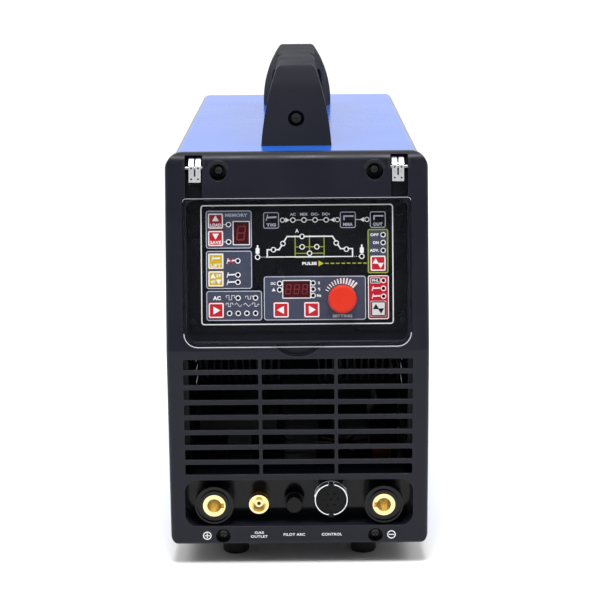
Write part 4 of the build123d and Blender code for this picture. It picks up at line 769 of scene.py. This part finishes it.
def digit(x, y, wide, tall, stroke):
    """An unlit seven-segment eight, leaning to the right."""
    half, level = wide / 2, tall / 2
    gap = stroke * DIGIT_GAP
    bars = []
    for up in (-level, 0.0, level):
        bars.append([(-half + gap, up), (half - gap, up)])
    for across in (-half, half):
        bars.append([(across, gap), (across, level - gap)])
        bars.append([(across, -level + gap), (across, -gap)])
    patches = []
    for bar in bars:
        patches += line([(x + u + DIGIT_SLANT * v, y + v) for u, v in bar], stroke * DIGIT_STROKE)
    return patches


digits = digit(-51.3, 29.3, 6.6, 12.4, 1.6)
for x in (-8.2, -0.6, 7.0):
    digits += digit(x, -22.7, 4.2, 8.4, 1.1)
lay_ink("display_digits", digits, on_panel(DISPLAY_FACE + INK_LIFT), ghost, "machine")

# ---------------------------------------------------------------------------------------------
# Keys. Nine square moulded caps with a printed symbol each, in dark red, red, yellow or white.
# Every symbol is pressed in with its key.
# ---------------------------------------------------------------------------------------------
KEY_FACE = -15.2
LEFT_X, BACK_X, ON_X, RIGHT_X = -74.7, -15.0, 13.1, 74.4
LOW_Y = -41.6
RIM_HALF, RIM_CORNER, RIM_LINE = 6.9, 1.6, 1.1
BIG_ARROW, MEMORY_ARROW, PAIR_ARROW = 6.2, 5.2, 4.4
PAIR_X, PAIR_Y, PAIR_HALF = 2.3, 1.9, 4.8

cap_dark = coat("cap_dark", linear(150, 14, 38), 0.4, grain=1500.0)
cap_red = coat("cap_red", linear(196, 14, 36), 0.4, grain=1500.0)
cap_yellow = coat("cap_yellow", linear(214, 182, 24), 0.4, grain=1500.0)
cap_white = coat("cap_white", linear(222, 222, 224), 0.4, grain=1500.0)
dress(cap_dark, "key_memory_up")
dress(cap_red, "key_memory_down", "key_waveform", "key_left", "key_right", "key_pulse")
dress(cap_yellow, "key_start_mode", "key_cycle")
dress(cap_white, "key_remote")


def rim(x, y):
    """The thin line printed round a key's top."""
    return frame_line(x - RIM_HALF, x + RIM_HALF, y - RIM_HALF, y + RIM_HALF, RIM_CORNER, RIM_LINE)


def rise_and_fall(x, y):
    """A triangle up and a triangle down, joined by a line through the middle."""
    pair = arrow(x - PAIR_X, y + PAIR_Y, PAIR_ARROW, 0)
    pair += arrow(x + PAIR_X, y - PAIR_Y, PAIR_ARROW, 180)
    return pair + line([(x - PAIR_HALF, y), (x + PAIR_HALF, y)], 0.7)


load = arrow(LEFT_X, 42.6, MEMORY_ARROW, 0) + lettering("LOAD", LEFT_X, 36.8, 2.9, 10.0, 0.03)
save = arrow(LEFT_X, 26.8, MEMORY_ARROW, 180) + lettering("SAVE", LEFT_X, 20.9, 2.9, 10.0, 0.03)
lift = torch(LEFT_X, 6.0, 1.3) + lettering("LIFT", LEFT_X, -0.2, 3.0, 9.4, 0.03)
cycle = lettering("2T", LEFT_X + 2.6, -9.8, 2.8, 4.4, 0.05)
cycle += lettering("4T", LEFT_X - 2.6, -15.4, 2.8, 4.4, 0.05)
cycle += arrow(LEFT_X - 2.6, -10.2, PAIR_ARROW, 0) + arrow(LEFT_X + 2.6, -15.0, PAIR_ARROW, 180)
for name, x, y, shapes, colour in (
    ("key_memory_up", LEFT_X, 40.5, load, white_ink),
    ("key_memory_down", LEFT_X, 24.5, save, white_ink),
    ("key_start_mode", LEFT_X, 3.6, lift, white_ink),
    ("key_cycle", LEFT_X, -12.6, cycle, white_ink),
    ("key_waveform", LEFT_X, LOW_Y, arrow(LEFT_X, LOW_Y, BIG_ARROW, -90), white_ink),
    ("key_left", BACK_X, LOW_Y, arrow(BACK_X, LOW_Y, BIG_ARROW, 90), white_ink),
    ("key_right", ON_X, LOW_Y, arrow(ON_X, LOW_Y, BIG_ARROW, -90), white_ink),
    ("key_pulse", RIGHT_X, 0.6, rise_and_fall(RIGHT_X, 0.6), white_ink),
    ("key_remote", RIGHT_X, -41.2, rise_and_fall(RIGHT_X, -41.2), black_ink),
):
    lay_ink(name + "_symbol", rim(x, y) + shapes, on_panel(KEY_FACE + INK_LIFT), colour,
            name + "_body")

# ---------------------------------------------------------------------------------------------
# Setting knob. A round orange-red moulding with fine grips, pressed on the encoder's steel
# shaft behind the plate.
# ---------------------------------------------------------------------------------------------
knob_orange = coat("knob_orange", linear(226, 48, 22), 0.4, gloss=0.4, grain=1300.0, height=0.00008,
                   edge=0.2)
dress(knob_orange, "setting_knob")
dress(pin_steel, "encoder_shaft")
dress(plated, "encoder_body")

# ---------------------------------------------------------------------------------------------
# Connectors. Two weld-cable sockets with turned brass contacts in glossy black collars, the
# brass gas outlet, the black pilot arc nut on its stud, and the chromed control socket.
# ---------------------------------------------------------------------------------------------
gloss_black = coat("gloss_black", linear(10, 10, 12), 0.2, gloss=0.25, grain=600.0, height=0.00002)
nut_black = coat("nut_black", linear(10, 10, 12), 0.28, gloss=0.2, grain=900.0)
brass = coat("brass", linear(252, 226, 166), 0.2, metal=1.0, grain=700.0, patch=0.1, stretch=(1, 8, 1))
chrome = coat("chrome", linear(232, 234, 238), 0.1, metal=1.0, patch=0.02, rough_spread=0.03)
gilt = coat("gilt", linear(222, 186, 110), 0.22, metal=1.0)
insert_black = coat("insert_black", linear(11, 11, 13), 0.4, gloss=0.15, grain=1200.0)
dress(gloss_black, "socket_collars")
dress(nut_black, "pilot_thumb_nut")
dress(insert_black, "control_socket_insert")
dress(brass, "socket_contacts", "gas_outlet", "pilot_terminal")
dress(chrome, "control_socket_shell")
dress(gilt, "control_socket_pins")

# ---------------------------------------------------------------------------------------------
# Back. A moulded fan behind a plated wire guard, a rocker switch, the cable gland with its
# lock nut, and the turned gas inlet.
# ---------------------------------------------------------------------------------------------
fan_plastic = coat("fan_plastic", linear(20, 20, 22), 0.5, gloss=0.35, grain=800.0)
switch_plastic = coat("switch_plastic", linear(16, 16, 18), 0.3, grain=900.0)
rocker_red = coat("rocker_red", linear(178, 18, 20), 0.25, grain=900.0)
gland_nylon = coat("gland_nylon", linear(24, 24, 26), 0.5, gloss=0.35, grain=700.0, height=0.0001)
dress(fan_plastic, "fan_frame", "fan_rotor")
dress(chrome, "fan_guard")
dress(switch_plastic, "switch_body")
dress(rocker_red, "switch_rocker")
dress(gland_nylon, "cable_gland")
dress(brass, "gas_inlet")

# ---------------------------------------------------------------------------------------------
# Inside. Lacquered circuit boards, black anodised coolers, taped transformer windings on
# ferrite, enamelled copper on the choke, and black sleeved parts.
# ---------------------------------------------------------------------------------------------
TRACK_SIZE = 160.0
TRACK_GAP = 0.06
TRACK_SHARE = 0.6
WIRE_PITCH = 420.0
WIRE_WANDER = 0.4
WIRE_RIDGE = 0.0004


def board_lacquer(name):
    """Green lacquer over copper tracks, with the tracks showing as a slightly paler net."""
    made = coat(name, linear(14, 66, 38), 0.3, grain=900.0)
    tree = made.node_tree
    shader = tree.nodes["Principled BSDF"]
    where = tree.nodes.new("ShaderNodeTexCoord")
    tracks = tree.nodes.new("ShaderNodeTexBrick")
    tracks.inputs["Scale"].default_value = TRACK_SIZE
    tracks.inputs["Mortar Size"].default_value = TRACK_GAP
    tracks.inputs["Color1"].default_value = linear(12, 56, 32)
    tracks.inputs["Color2"].default_value = linear(14, 62, 36)
    tracks.inputs["Mortar"].default_value = linear(44, 104, 66)
    tree.links.new(where.outputs["Object"], tracks.inputs["Vector"])
    mixed = tree.nodes.new("ShaderNodeMix")
    mixed.data_type = "RGBA"
    mixed.inputs["Factor"].default_value = TRACK_SHARE
    tree.links.new(shader.inputs["Base Color"].links[0].from_socket, mixed.inputs["A"])
    tree.links.new(tracks.outputs["Color"], mixed.inputs["B"])
    tree.links.new(mixed.outputs["Result"], shader.inputs["Base Color"])
    return made


def wound(name, colour, rough, metal):
    """Wire or tape laid turn beside turn, as fine ridges."""
    made = coat(name, colour, rough, metal=metal)
    tree = made.node_tree
    where = tree.nodes.new("ShaderNodeTexCoord")
    turns = tree.nodes.new("ShaderNodeTexWave")
    turns.inputs["Scale"].default_value = WIRE_PITCH
    turns.inputs["Distortion"].default_value = WIRE_WANDER
    tree.links.new(where.outputs["Object"], turns.inputs["Vector"])
    ridges = tree.nodes.new("ShaderNodeBump")
    ridges.inputs["Distance"].default_value = WIRE_RIDGE
    tree.links.new(turns.outputs["Fac"], ridges.inputs["Height"])
    tree.links.new(ridges.outputs["Normal"], tree.nodes["Principled BSDF"].inputs["Normal"])
    return made


boards = board_lacquer("boards")
cooler_black = coat("cooler_black", linear(18, 18, 20), 0.4, metal=0.3, grain=500.0, stretch=(1, 0.2, 1))
copper = wound("copper", linear(104, 56, 38), 0.4, 0.8)
tape = wound("tape", linear(20, 20, 22), 0.5, 0.0)
ferrite = coat("ferrite", linear(36, 36, 40), 0.6, grain=500.0, height=0.0002)
potting = coat("potting", linear(16, 16, 18), 0.5)
sleeve = coat("sleeve", linear(18, 18, 22), 0.3)
support_board = coat("support_board", linear(14, 14, 16), 0.5, gloss=0.2)
valve_plate = coat("valve_plate", linear(150, 142, 124), 0.35, metal=1.0)
hose_skin = coat("hose_skin", linear(20, 20, 22), 0.45, grain=700.0)
dress(boards, "control_board", "power_board")
dress(cooler_black, "heatsinks")
dress(copper, "choke_winding", "busbars")
dress(tape, "transformer_windings")
dress(ferrite, "transformer_core", "choke_core")
dress(potting, "power_transistors", "start_unit")
dress(sleeve, "board_components")
dress(support_board, "inner_supports")
dress(valve_plate, "gas_valve")
dress(hose_skin, "gas_hose")
